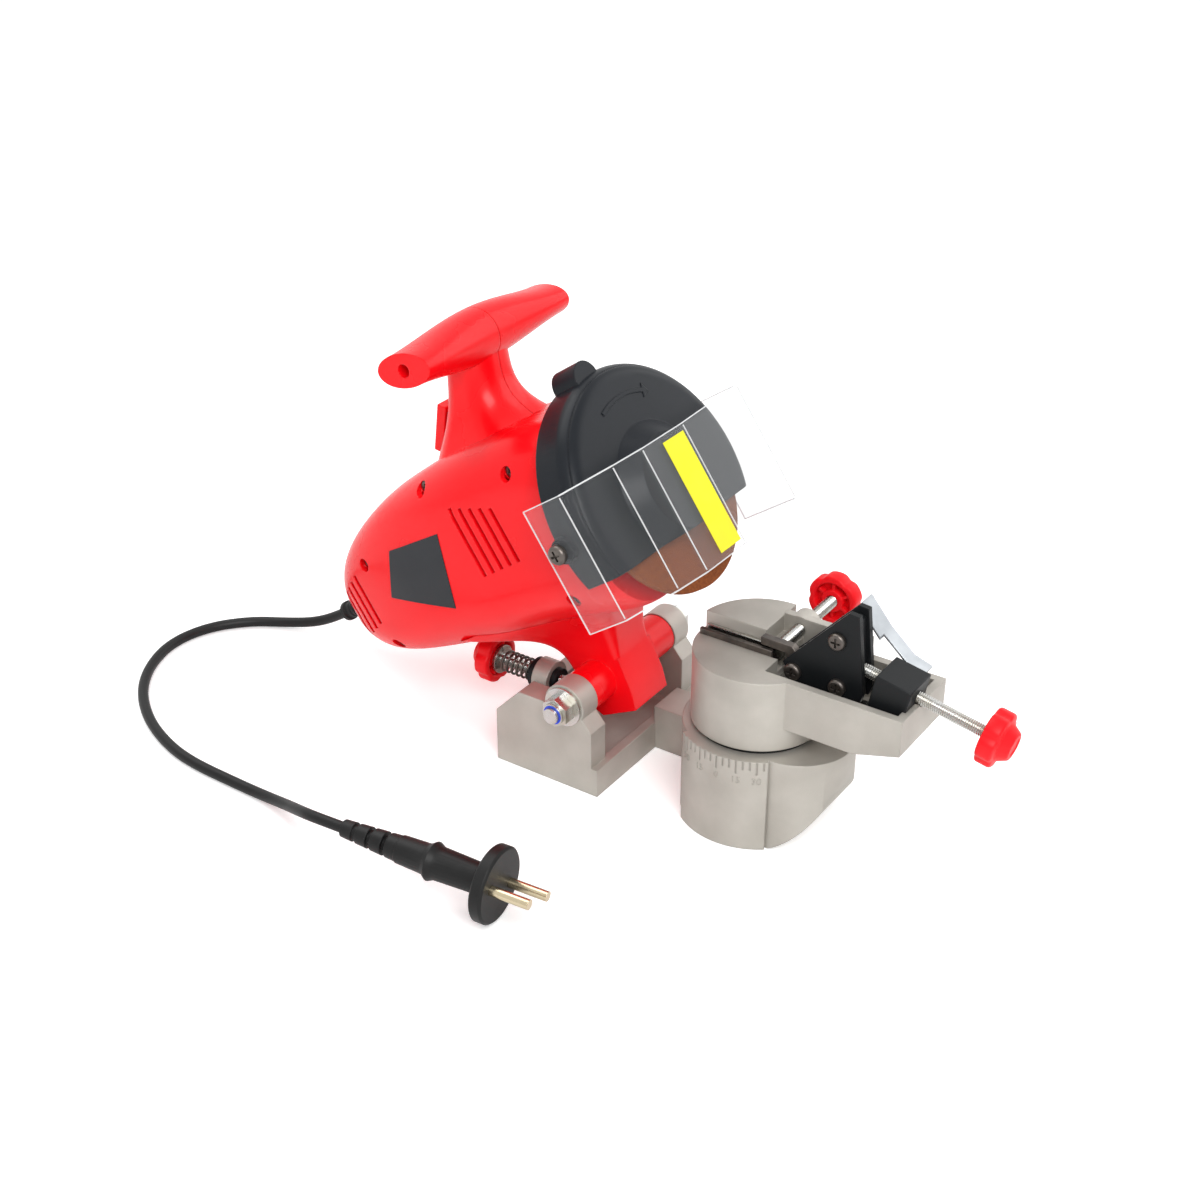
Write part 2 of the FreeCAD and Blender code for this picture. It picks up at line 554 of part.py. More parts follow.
def body_solid(inset):
    """Return the smooth outer body of the head, or its hollow when inset."""
    stations = [
        (-126, 17, 6, 24), (-119, 27, 14, 31), (-100, 36, 22, 41), (-68, 42, 29, 52),
        (-32, 45, 34, 57), (2, 46, 37, 58), (32, 46, 41, 56), (54, 46, 45, 52), (66, 44, 45, 48)]
    wires = []
    for i, (p, half, below, above) in enumerate(stations):
        if inset and i in (0, len(stations) - 1):
            p += inset if i == 0 else -inset
        h = half - inset
        low, high = WHEEL_Q - below + inset, WHEEL_Q + above - inset
        corner = min(h, (high - low) / 2) * (0.82 if i < 2 else 0.62)
        wires.append(section(p, HEAD_X, h, low, high, corner))
    return Part.makeLoft(wires, True, False)


def neck_solid(inset):
    """Return the neck between body and handle."""
    levels = [(112, 3, 37, 33), (128, 3, 30, 24), (144, 8, 19, 17), (161, 17, 15, 15), (173, 23, 12.5, 14)]
    wires = []
    for q, mid, half_p, half_x in levels:
        hp, hx = half_p - inset, half_x - inset
        wires.append(flat_section(q, HEAD_X, hx, mid - hp, mid + hp, min(hp, hx) * 0.8))
    return Part.makeLoft(wires, True, False)


def handle_solid(inset):
    """Return the cross handle, round in the middle and flat towards its ends."""
    wires = []
    for share, flat, wide in ((-1, 0.62, 1.2), (-0.5, 0.84, 1.14), (0, 1.0, 1.06), (0.5, 0.84, 1.14), (1, 0.62, 1.2)):
        oval = Part.Wire(Part.Ellipse(V(0, 0, 0), HANDLE_R * wide - inset, HANDLE_R * flat - inset).toShape())
        oval.Placement = FreeCAD.Placement(V(0, 0, 0), FreeCAD.Rotation(V(1, 1, 1), 120))
        oval.rotate(V(0, 0, 0), V(1, 0, 0), HANDLE_ROLL)
        oval.translate(V(HEAD_X + share * (HANDLE_HALF - inset), -HANDLE_P, HANDLE_Q))
        wires.append(oval)
    return Part.makeLoft(wires, True, False)


def make_head():
    """Shells, hinge arm, switch, guard and shield of the head."""
    outer = fuse([body_solid(0), neck_solid(0), handle_solid(0)])
    hollow = body_solid(SHELL_T)
    shell = outer.cut(hollow)
    webs = []
    for p0, p1, bore in ((-64, -54, REAR_BEARING_R), (FRONT_WEB_P, FRONT_WEB_P + WEB_T, FRONT_BEARING_R)):
        web = hollow.common(box(-90, 90, -p1, -p0, 20, 140))
        webs.append(web.cut(cyl(bore, along(p0 - 1, WHEEL_X, WHEEL_Q), along(p1 + 1, WHEEL_X, WHEEL_Q))))
    for p0 in (STATOR_P0 + 2, STATOR_P1 - 5):
        web = hollow.common(box(-90, 90, -p0 - 3, -p0, 20, 140))
        webs.append(web.cut(cyl(STATOR_R, along(p0 - 1, WHEEL_X, WHEEL_Q), along(p0 + 5, WHEEL_X, WHEEL_Q))))
    shell = fuse([shell] + webs)
    shell = shell.cut(cyl(SPINDLE_R + 6, along(60, WHEEL_X, WHEEL_Q), along(70, WHEEL_X, WHEEL_Q)))

    heel = [(-13, 6), (-12.5, -12), (-9, -18), (12, -21), (15, -12), (17.8, 6)]
    heel = prism_x([(-p, q) for p, q in heel], HEAD_X - FOOT_HALF, HEAD_X + FOOT_HALF)
    levels = [
        (4, FOOT_HALF, -13, 17.5), (14, FOOT_HALF + 1, -14, 21), (24, FOOT_HALF + 4, -18, 27),
        (33, FOOT_HALF + 11, -28, 34), (40, FOOT_HALF + 18, -43, 41), (46, FOOT_HALF + 22, -56, 46)]
    wires = [flat_section(q, HEAD_X, half, p0, p1, 2.0 + q * 0.2) for q, half, p0, p1 in levels]
    flare = Part.makeLoft(wires, True, False)
    barrel = cyl(BARREL_R, (-BARREL_HALF, 0, 0), (BARREL_HALF, 0, 0))
    arm = fuse([heel, flare, barrel]).cut(outer)
    arm = arm.cut(cyl(BOLT_R + RUN + 1.5, (-60, 0, 0), (60, 0, 0)))
    arm = max(arm.Solids, key=lambda solid: solid.Volume)
    bush = cyl(BOLT_R + RUN + 1.5, (-BARREL_HALF, 0, 0), (BARREL_HALF, 0, 0))
    keep("hinge_arm", tilt(arm))
    keep("hinge_bushing", tilt(bush.cut(cyl(BOLT_R + RUN, (-60, 0, 0), (60, 0, 0)))))

    posts = [(-20, 49.5), (40, 38.5), (-80, 29), (-93, -15), (38.8, -27)]
    screws = []
    for p, rise in posts:
        q = WHEEL_Q + rise
        sight = outer.common(Part.makeLine(V(*along(p, -90, q)), V(*along(p, HEAD_X, q))))
        face = min(vertex.X for vertex in sight.Vertexes) + 3.5
        post = cyl(4.2, along(p, face, q), along(p, HEAD_X + 60, q)).common(outer)
        shell = shell.fuse(post)
        shell = shell.cut(cyl(3.4, along(p, -90, q), along(p, face, q)))
        shell = shell.cut(cyl(1.7, along(p, face - 1, q), along(p, HEAD_X + 20, q)))
        screws.append(tilt(pan_screw(along(p, face + 1.9, q), (-1, 0, 0), 1.7, HEAD_X + 18 - face, 3.1, 1.8)))
        shell = shell.cut(cyl(3.15, along(p, face - 1, q), along(p, face + 1.9, q)))
    end = along(HANDLE_P, HEAD_X - HANDLE_HALF - 1, HANDLE_Q)
    shell = shell.cut(cyl(3.2, end, along(HANDLE_P, HEAD_X - HANDLE_HALF + 12, HANDLE_Q)))
    keep("shell_screws", Part.makeCompound(screws))

    for i in range(4):
        p = -112 + 6.2 * i
        slot = box(-90, 90, -p - 1.3, -p + 1.3, WHEEL_Q - 6 + i * 1.5, WHEEL_Q + 20 + i * 2)
        shell = shell.cut(slot.common(box(-90, 90, 80, 140, 60, 100)))
    for i in range(5):
        p = -1 + 6.0 * i
        shell = shell.cut(box(-90, HEAD_X - 38, -p - 1.1, -p + 1.1, WHEEL_Q, WHEEL_Q + 36 - 2 * i))
        shell = shell.cut(box(HEAD_X + 38, 90, -p - 1.1, -p + 1.1, WHEEL_Q, WHEEL_Q + 36 - 2 * i))
    bezel_mid = V(HEAD_X, 17.5, 142)
    well = box(-7, 7, -9.5, 9.5, -9, 3.2)
    well.rotate(V(0, 0, 0), V(1, 0, 0), -48)
    well.translate(bezel_mid)
    shell = shell.cut(well)
    relief = cyl(5.2, along(-110, HEAD_X, EXIT_Q), along(-130, HEAD_X, EXIT_Q))
    shell = shell.cut(relief)
    half = 200
    left = shell.common(box(HEAD_X - half, HEAD_X, -half, half, -half, 2 * half))
    right = shell.common(box(HEAD_X, HEAD_X + half, -half, half, -half, 2 * half))
    for name, piece in (("left_shell", left), ("right_shell", right)):
        solids = sorted(piece.Solids, key=lambda solid: -solid.Volume)
        print(name, "solids", [round(solid.Volume) for solid in solids])
        keep(name, tilt(solids[0]))

    frame = box(-8.5, 8.5, -12.5, 12.5, -2, 3.2).cut(box(-5.2, 5.2, -8.2, 8.2, -5, 9))
    body = box(-7, 7, -9.5, 9.5, -9, -2).cut(box(-5.2, 5.2, -8.2, 8.2, -6, 0))
    rocker = box(-5, 5, -7.2, 7.2, -1.5, 3.0).fuse(cyl(2.2, (-5, 0, -1.8), (5, 0, -1.8)))
    rocker = rocker.cut(prism_x([(-8, 3.1), (-8, 2.0), (0, 3.1)], -9, 9)).removeSplitter()
    for name, piece in (("switch_bezel", frame.cut(outer)), ("switch_body", body), ("switch_rocker", rocker)):
        moved = piece.copy()
        moved.rotate(V(0, 0, 0), V(1, 0, 0), -48)
        moved.translate(bezel_mid)
        if name == "switch_bezel":
            moved = moved.cut(outer)
            moved = max(moved.Solids, key=lambda solid: solid.Volume)
        keep(name, tilt(moved))

    cup = ring(GUARD_R, 0, GUARD_P0, GUARD_P1)
    cup = cup.makeFillet(8.5, [e for e in cup.Edges if abs(e.BoundBox.YMin + GUARD_P1) < 0.1 and e.Closed][:1])
    dome = Part.makeCone(DOME_R + 5, DOME_R - 4, DOME_P - GUARD_P1 + 1, V(*along(GUARD_P1 - 1, WHEEL_X, WHEEL_Q)), V(0, -1, 0))
    humps = []
    for x, q in ((WHEEL_X - 7, WHEEL_Q + GUARD_R - 1), (WHEEL_X + GUARD_R - 7, WHEEL_Q + 3)):
        humps.append(cyl(8, along(GUARD_P0, x, q), along(GUARD_P1 - 6, x, q)))
    cup = fuse([cup, dome] + humps)
    inner = ring(GUARD_R - GUARD_T, 0, GUARD_P0 + GUARD_T, GUARD_P1 - GUARD_T)
    cone = Part.makeCone(DOME_R + 3, DOME_R - 6, DOME_P - GUARD_P1 + 1,
                         V(*along(GUARD_P1 - GUARD_T - 1, WHEEL_X, WHEEL_Q)), V(0, -1, 0))
    cup = cup.cut(inner).cut(cone)
    cup = cup.cut(box(-90, 90, -120, 0, 0, GUARD_CHORD))
    lugs = []
    for x0, x1 in ((SHIELD_X0 + SHIELD_T + GAP, WHEEL_X - GUARD_R + 1), (WHEEL_X + GUARD_R - 1, SHIELD_X1 - GAP)):
        lugs.append(cyl(LUG_R, along(LUG_P, x0, LUG_Q), along(LUG_P, x1, LUG_Q)))
    cup = fuse([cup] + lugs)
    cup = cup.cut(cyl(SPINDLE_R + 9, along(GUARD_P0 - 9, WHEEL_X, WHEEL_Q), along(GUARD_P0 + 9, WHEEL_X, WHEEL_Q)))
    inner_space = ring(GUARD_R - GUARD_T, 0, GUARD_P0 + GUARD_T, GUARD_P1 - GUARD_T)
    cup = cup.cut(inner_space)
    cup = cup.cut(cyl(2.0, along(LUG_P, -90, LUG_Q), along(LUG_P, 90, LUG_Q)))
    seats = [(WHEEL_X - 28, WHEEL_Q + 24), (WHEEL_X + 28, WHEEL_Q + 24), (WHEEL_X, WHEEL_Q + 40)]
    fixings = []
    for x, q in seats:
        cup = cup.cut(cyl(2.0, along(GUARD_P0 - 1, x, q), along(GUARD_P0 + 5, x, q)))
        fixings.append(tilt(pan_screw(along(GUARD_P0 + GUARD_T, x, q), (0, -1, 0), 2.0, GUARD_T + GUARD_P0 - 66, 3.8, 2.2)))
    cup = max(cup.Solids, key=lambda solid: solid.Volume)
    keep("wheel_guard", tilt(cup))
    keep("guard_screws", Part.makeCompound(fixings))

    line = [(SHIELD_X0 + SHIELD_T, LUG_P - 7), (SHIELD_X0 + SHIELD_T, 87.0), (-52.0, 102.0), (-37.0, 108.0),
            (-6.0, 108.8), (SHIELD_X1, 96.5), (SHIELD_X1, LUG_P - 7)]
    outline = [V(x, -p, SHIELD_Q0) for x, p in strip(line, SHIELD_T)]
    sheet = Part.Face(Part.makePolygon(outline + outline[:1])).extrude(V(0, 0, SHIELD_Q1 - SHIELD_Q0))
    sheet = sheet.cut(cyl(2.0 + RUN, along(LUG_P, -90, LUG_Q), along(LUG_P, 90, LUG_Q)))
    keep("clear_shield", tilt(sheet))
    pair = []
    for x, way in ((SHIELD_X0 - GAP, -1), (SHIELD_X1 + SHIELD_T + GAP, 1)):
        pair.append(tilt(pan_screw(along(LUG_P, x, LUG_Q), (way, 0, 0), 2.0, 7.5, 4.6, 3.0)))
    keep("shield_screws", Part.makeCompound(pair))


def make_motor():
    """Motor, spindle and grinding wheel."""
    keep("motor_stator", tilt(ring(STATOR_R, STATOR_BORE, STATOR_P0, STATOR_P1)))
    keep("armature", tilt(ring(ARMATURE_R, SPINDLE_R, STATOR_P0 + 1, STATOR_P1 - 1)))
    keep("commutator", tilt(ring(10, SPINDLE_R, STATOR_P0 - 18, STATOR_P0 - 4)))
    blades = [ring(12, SPINDLE_R, STATOR_P1 + 3, STATOR_P1 + 14), ring(FAN_R, SPINDLE_R, STATOR_P1 + 3, STATOR_P1 + 5)]
    for i in range(12):
        blade = box(-0.8, 0.8, -STATOR_P1 - 13, -STATOR_P1 - 4, 8, FAN_R - 1)
        blade.rotate(V(0, 0, 0), V(0, 1, 0), 30 * i)
        blade.translate(V(WHEEL_X, 0, WHEEL_Q))
        blades.append(blade)
    keep("fan", tilt(fuse(blades)))
    keep("front_bearing", tilt(ring(FRONT_BEARING_R, SPINDLE_R + RUN, FRONT_WEB_P + 0.5, FRONT_WEB_P + WEB_T - 0.5)))
    keep("rear_bearing", tilt(ring(REAR_BEARING_R, REAR_SPINDLE_R + RUN, -63, -56)))
    shaft = fuse([ring(REAR_SPINDLE_R, 0, -64, -50), ring(SPINDLE_R, 0, -50, WHEEL_P + 10)])
    keep("spindle", tilt(shaft))
    holders = []
    brushes = []
    reach = 10.0 + GAP
    for way in (-1, 1):
        far = WHEEL_X + way * (reach + 17)
        near = WHEEL_X + way * (reach + 2)
        tip = WHEEL_X + way * reach
        tube = box(min(far, near), max(far, near), 29, 37, WHEEL_Q - 4.5, WHEEL_Q + 4.5)
        core = box(min(far, near) - 1, max(far, near) + 1, 30.5, 35.5, WHEEL_Q - 3, WHEEL_Q + 3)
        holders.append(tilt(tube.cut(core)))
        brushes.append(tilt(box(min(tip, far), max(tip, far), 30.5, 35.5, WHEEL_Q - 3, WHEEL_Q + 3)))
    keep("brush_holders", Part.makeCompound(holders))
    keep("brushes", Part.makeCompound(brushes))
    half = WHEEL_T / 2
    keep("inner_flange", tilt(ring(13, SPINDLE_R, WHEEL_P - half - 5, WHEEL_P - half)))
    keep("grinding_wheel", tilt(ring(WHEEL_R, WHEEL_BORE, WHEEL_P - half, WHEEL_P + half)))
    keep("outer_flange", tilt(ring(13, SPINDLE_R, WHEEL_P + half, WHEEL_P + half + 2.5)))
    nut = hexagon(16, along(WHEEL_P + half + 2.5, WHEEL_X, WHEEL_Q), (0, -1, 0), 5)
    keep("wheel_nut", tilt(nut.cut(ring(SPINDLE_R, 0, 60, 120))))


def make_lead():
    """Mains lead with its sleeve and plug."""
    sleeve = fuse([
        cyl(5.2, along(-112, HEAD_X, EXIT_Q), along(-130, HEAD_X, EXIT_Q)),
        Part.makeCone(5.2, 4.2, -130 - EXIT_P, V(*along(-130, HEAD_X, EXIT_Q)), V(0, 1, 0)),
        cyl(5.4, along(EXIT_P + 3, HEAD_X, EXIT_Q), along(EXIT_P, HEAD_X, EXIT_Q))])
    keep("cord_sleeve", tilt(sleeve))
    route = [head_point(EXIT_P, HEAD_X, EXIT_Q)] + [V(*point) for point in CORD_POINTS] + [PLUG_TAIL]
    path, radii = rounded_path(route)
    print("cord radii", [round(radius) for radius in radii], "length", round(path.Length, 1))
    tube = sweep(path, CORD_R)
    print("cord volume ratio", round(tube.Volume / (math.pi * CORD_R ** 2 * path.Length), 4))
    keep("mains_cord", tube)
    axis = PLUG_FACE - PLUG_TAIL
    length = axis.Length
    grip = [Part.makeCone(4.2, 6.2, PLUG_RELIEF)]
    grip.append(Part.makeCone(6.6, 7.2, PLUG_RING - 3 - PLUG_RELIEF, V(0, 0, PLUG_RELIEF)))
    grip.append(Part.makeCone(7.2, 9.2, 3, V(0, 0, PLUG_RING - 3)))
    grip.append(Part.makeCone(9.2, 7.8, 3, V(0, 0, PLUG_RING)))
    grip.append(Part.makeCone(7.8, 7.0, length - PLUG_RING - 3 - PLATE_THICK, V(0, 0, PLUG_RING + 3)))
    solid = fuse(grip)
    for i in range(3):
        z0 = PLUG_RELIEF * (0.2 + 0.27 * i)
        notch = Part.makeCylinder(9, 2.2, V(0, 0, z0)).cut(Part.makeCylinder(3.6, 2.2, V(0, 0, z0)))
        solid = solid.cut(notch)
    face = Part.makeCylinder(PLATE_R, PLATE_THICK, V(0, 0, length - PLATE_THICK))
    face = face.makeChamfer(1.0, [edge for edge in face.Edges if edge.Closed and len(edge.Vertexes) == 1])
    solid = fuse([solid, face])
    slant = math.radians(PIN_SLANT)
    pins = []
    for way in (-1, 1):
        place = V(way * PIN_PITCH / 2 * math.cos(slant), -way * PIN_PITCH / 2 * math.sin(slant), length)
        pins.append(Part.makeCylinder(PIN_R, PIN_LEN, place))
    turn = FreeCAD.Rotation(V(0, 0, 1), axis)
    place = FreeCAD.Placement(PLUG_TAIL, turn)
    middle = [place.multVec(pin.CenterOfMass) for pin in pins]
    print("plug pins", [[round(v, 4) for v in point] for point in middle])
    solid.Placement = place
    group = Part.makeCompound(pins)
    group.Placement = place
    low = solid.BoundBox.ZMin
    print("plug lowest", round(low, 2))
    keep("plug_body", solid)
    keep("plug_pins", group)


make_base()
make_depth_screw()
make_vise()
make_stop()
make_head()
make_motor()
make_lead()

for node, shape in PARTS.items():
    if not shape.isValid():
        print("not valid:", node)
    shape.exportStep("parts/" + node + ".step")
print(len(PARTS), "parts written")
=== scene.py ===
"""Looks of the electric chainsaw sharpener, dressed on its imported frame, in metres."""

import json
import logging
import math
from dataclasses import dataclass, field
from enum import Enum

import bmesh
import bpy
from mathutils import Matrix, Vector
from mathutils.bvhtree import BVHTree

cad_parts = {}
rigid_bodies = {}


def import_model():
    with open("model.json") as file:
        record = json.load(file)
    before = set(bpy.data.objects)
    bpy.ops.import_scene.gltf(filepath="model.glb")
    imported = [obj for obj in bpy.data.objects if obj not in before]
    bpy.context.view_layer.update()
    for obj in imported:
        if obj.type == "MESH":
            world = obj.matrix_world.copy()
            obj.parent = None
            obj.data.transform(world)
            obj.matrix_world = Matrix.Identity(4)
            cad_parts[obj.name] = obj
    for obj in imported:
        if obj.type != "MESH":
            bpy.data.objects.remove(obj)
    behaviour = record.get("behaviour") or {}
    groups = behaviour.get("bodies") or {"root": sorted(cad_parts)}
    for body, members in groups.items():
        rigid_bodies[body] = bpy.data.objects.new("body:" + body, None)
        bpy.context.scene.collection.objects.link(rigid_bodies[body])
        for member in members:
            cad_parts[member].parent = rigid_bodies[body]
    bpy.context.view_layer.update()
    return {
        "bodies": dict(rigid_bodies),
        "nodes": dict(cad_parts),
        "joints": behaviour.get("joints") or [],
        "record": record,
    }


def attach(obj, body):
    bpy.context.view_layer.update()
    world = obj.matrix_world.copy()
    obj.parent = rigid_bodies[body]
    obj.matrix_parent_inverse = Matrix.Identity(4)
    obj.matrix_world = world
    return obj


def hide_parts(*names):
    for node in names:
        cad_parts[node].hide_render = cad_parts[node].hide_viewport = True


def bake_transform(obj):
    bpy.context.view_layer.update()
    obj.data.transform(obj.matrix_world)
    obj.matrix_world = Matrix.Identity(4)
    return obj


LOG = logging.getLogger("sharpener")
MM = 0.001
COAT_ROUGH = 0.08
MOTTLE_BAND = (0.35, 0.7)
ROUGH_SPREAD = 0.07
LEAST_ROUGH = 0.03
MOTTLE_DETAIL = 4.0
GRAIN_DETAIL = 2.0
GRAIN_DEPTH = 0.3 * MM
FLAT_DEG = 0.6
THREAD_DEPTH = 0.55
ROD_CHAMFER = 0.0004
LEAST_PLAIN = 0.0006
MERGE_NODE = 1e-6
MERGE_TURNED = 1e-7


class Slot(Enum):
    """Material slots of the record."""

    CAST = "cast_metal"
    ZINC = "zinc_steel"
    DARK = "dark_steel"
    RED = "red_shell"
    KNOB = "red_knob"
    BLACK = "black_plastic"
    RUBBER = "black_rubber"
    BRASS = "plug_brass"
    CLEAR = "clear_plastic"
    GRIT = "abrasive"
    NYLON = "blue_nylon"
    MOTOR = "motor_steel"
    COPPER = "copper"
    CARBON = "carbon"


@dataclass(frozen=True)
class Finish:
    """One finish of the object, with its mottling, grain and softened edges.

    Attributes:
        name: Material name.
        color: Main colour.
        other: Colour that the mottling goes towards.
        rough: Roughness.
        metal: Metallic share.
        grain: Size of the bump's grain in cycles per metre.
        bump: Strength of the bump.
        mottle: Cycles per metre of the colour's mottling.
        edge: Radius of the softened edges in metres.
        coat: Clear coat weight.
        shine: Specular level.
    """

    name: str
    color: tuple[float, float, float]
    other: tuple[float, float, float]
    rough: float = 0.4
    metal: float = 0.0
    grain: float = 2500.0
    bump: float = 0.1
    mottle: float = 60.0
    edge: float = 0.0004
    coat: float = 0.0
    shine: float = 0.5

    def build(self) -> bpy.types.Material:
        """Return the node material of this finish."""
        material = bpy.data.materials.new(self.name)
        material.use_nodes = True
        tree = material.node_tree
        shader = tree.nodes["Principled BSDF"]
        shader.inputs["Metallic"].default_value = self.metal
        shader.inputs["Coat Weight"].default_value = self.coat
        shader.inputs["Coat Roughness"].default_value = COAT_ROUGH
        shader.inputs["Specular IOR Level"].default_value = self.shine
        place = tree.nodes.new("ShaderNodeTexCoord").outputs["Object"]
        cloud = self.noise(tree, place, self.mottle, MOTTLE_DETAIL)
        mix = tree.nodes.new("ShaderNodeMix")
        mix.data_type = "RGBA"
        mix.inputs["A"].default_value = (*self.color, 1)
        mix.inputs["B"].default_value = (*self.other, 1)
        ramp = tree.nodes.new("ShaderNodeMapRange")
        ramp.inputs["From Min"].default_value, ramp.inputs["From Max"].default_value = MOTTLE_BAND
        tree.links.new(cloud, ramp.inputs["Value"])
        tree.links.new(ramp.outputs["Result"], mix.inputs["Factor"])
        tree.links.new(mix.outputs["Result"], shader.inputs["Base Color"])
        wear = tree.nodes.new("ShaderNodeMapRange")
        wear.inputs["To Min"].default_value = max(self.rough - ROUGH_SPREAD, LEAST_ROUGH)
        wear.inputs["To Max"].default_value = self.rough + ROUGH_SPREAD
        tree.links.new(cloud, wear.inputs["Value"])
        tree.links.new(wear.outputs["Result"], shader.inputs["Roughness"])
        soft = tree.nodes.new("ShaderNodeBevel")
        soft.samples = 4
        soft.inputs["Radius"].default_value = self.edge
        bump = tree.nodes.new("ShaderNodeBump")
        bump.inputs["Strength"].default_value = self.bump
        bump.inputs["Distance"].default_value = GRAIN_DEPTH
        tree.links.new(self.noise(tree, place, self.grain, GRAIN_DETAIL), bump.inputs["Height"])
        tree.links.new(soft.outputs["Normal"], bump.inputs["Normal"])
        tree.links.new(bump.outputs["Normal"], shader.inputs["Normal"])
        return material

    @staticmethod
    def noise(tree: bpy.types.NodeTree, place: bpy.types.NodeSocket, scale: float,
              detail: float) -> bpy.types.NodeSocket:
        """Return the factor of a noise of the given scale and detail at a place."""
        node = tree.nodes.new("ShaderNodeTexNoise")
        node.inputs["Scale"].default_value = scale
        node.inputs["Detail"].default_value = detail
        tree.links.new(place, node.inputs["Vector"])
        return node.outputs["Fac"]


@dataclass(frozen=True)
class ClearSheet:
    """Clear bent plastic, more visible where it is seen edge on.

    Attributes:
        name: Material name.
        face_alpha: Opacity where it is seen square on.
        edge_alpha: Opacity where it is seen edge on.
        color: Tint.
        rough: Roughness.
        blend: Bias of the share that counts as edge on.
    """

    name: str = "clear polycarbonate"
    face_alpha: float = 0.035
    edge_alpha: float = 0.30
    color: tuple[float, float, float] = (0.40, 0.41, 0.42)
    rough: float = 0.06
    blend: float = 0.35

    def build(self) -> bpy.types.Material:
        """Return the see-through material."""
        material = bpy.data.materials.new(self.name)
        material.use_nodes = True
        tree = material.node_tree
        shader = tree.nodes["Principled BSDF"]
        shader.inputs["Base Color"].default_value = (*self.color, 1)
        shader.inputs["Roughness"].default_value = self.rough
        weight = tree.nodes.new("ShaderNodeLayerWeight")
        weight.inputs["Blend"].default_value = self.blend
        spread = tree.nodes.new("ShaderNodeMapRange")
        spread.inputs["To Min"].default_value = self.face_alpha
        spread.inputs["To Max"].default_value = self.edge_alpha
        tree.links.new(weight.outputs["Facing"], spread.inputs["Value"])
        tree.links.new(spread.outputs["Result"], shader.inputs["Alpha"])
        return material


FINISHES = {
    Slot.CAST: Finish("blasted casting", (0.41, 0.385, 0.345), (0.49, 0.465, 0.42), rough=0.48, metal=0.5,
                      grain=2600, bump=0.35, mottle=45, edge=0.0009),
    Slot.ZINC: Finish("zinc plate", (0.56, 0.56, 0.55), (0.50, 0.48, 0.42), rough=0.27, metal=1.0,
                      grain=1500, bump=0.08, mottle=120, edge=0.0003),
    Slot.DARK: Finish("blackened steel", (0.15, 0.13, 0.115), (0.09, 0.08, 0.075), rough=0.36, metal=0.9,
                      grain=1800, bump=0.12, mottle=150, edge=0.0003),
    Slot.RED: Finish("glossy red shell", (0.90, 0.003, 0.008), (0.84, 0.002, 0.006), rough=0.26,
                     grain=900, bump=0.02, mottle=25, edge=0.0008, coat=0.07, shine=0.22),
    Slot.KNOB: Finish("red knob", (0.84, 0.006, 0.012), (0.78, 0.005, 0.010), rough=0.42,
                      grain=1600, bump=0.08, mottle=60, edge=0.0006, shine=0.22),
    Slot.BLACK: Finish("black moulding", (0.006, 0.007, 0.008), (0.009, 0.010, 0.011), rough=0.42,
                       grain=2200, bump=0.1, mottle=40, edge=0.0006, shine=0.2),
    Slot.RUBBER: Finish("black lead", (0.006, 0.006, 0.006), (0.009, 0.009, 0.009), rough=0.45,
                        grain=1500, bump=0.1, mottle=80, edge=0.0005, shine=0.25),
    Slot.BRASS: Finish("plated brass", (0.62, 0.53, 0.36), (0.54, 0.45, 0.30), rough=0.24, metal=1.0,
                       grain=1200, bump=0.05, mottle=150, edge=0.0003),
    Slot.GRIT: Finish("bonded grit", (0.26, 0.075, 0.022), (0.18, 0.05, 0.018), rough=0.9,
                      grain=1800, bump=0.9, mottle=700, edge=0.0003, shine=0.2),
    Slot.NYLON: Finish("blue nylon", (0.01, 0.05, 0.60), (0.02, 0.07, 0.68), rough=0.35,
                       grain=900, bump=0.05, mottle=90, edge=0.0002),
    Slot.MOTOR: Finish("laminated steel", (0.38, 0.38, 0.39), (0.26, 0.26, 0.27), rough=0.4, metal=0.9,
                       grain=1200, bump=0.2, mottle=90, edge=0.0003),
    Slot.COPPER: Finish("turned copper", (0.66, 0.32, 0.18), (0.55, 0.25, 0.13), rough=0.3, metal=1.0,
                        grain=1200, bump=0.1, mottle=90, edge=0.0002),
    Slot.CARBON: Finish("pressed carbon", (0.03, 0.03, 0.03), (0.05, 0.05, 0.05), rough=0.7,
                        grain=1500, bump=0.2, mottle=200, edge=0.0002),
}
GUARD_FINISH = Finish("charcoal guard", (0.009, 0.011, 0.014), (0.012, 0.014, 0.018), rough=0.32,
                      grain=1900, bump=0.08, mottle=30, edge=0.0009, shine=0.16)
BADGE_FINISH = Finish("grey badge", (0.022, 0.024, 0.028), (0.027, 0.029, 0.033), rough=0.4,
                      grain=1500, bump=0.05, mottle=60, edge=0.0003, shine=0.22)
LABEL_FINISH = Finish("yellow label", (0.80, 0.74, 0.01), (0.76, 0.70, 0.02), rough=0.45,
                      grain=1200, bump=0.04, mottle=60, edge=0.0001, shine=0.3)
LEVER_FINISH = Finish("bright sheet steel", (0.40, 0.42, 0.44), (0.34, 0.36, 0.38), rough=0.34, metal=0.9,
                      grain=1500, bump=0.08, mottle=120, edge=0.0002)
SHEET_FINISH = ClearSheet()
# Painted highlights: near-white strips along the shield's bends and cut edges.
EDGE_HIGHLIGHT_FINISH = ClearSheet("painted sheet highlight", face_alpha=0.5, edge_alpha=0.85, color=(0.82, 0.83, 0.84))
NODE_FINISHES = {"wheel_guard": GUARD_FINISH, "stop_lever": LEVER_FINISH}


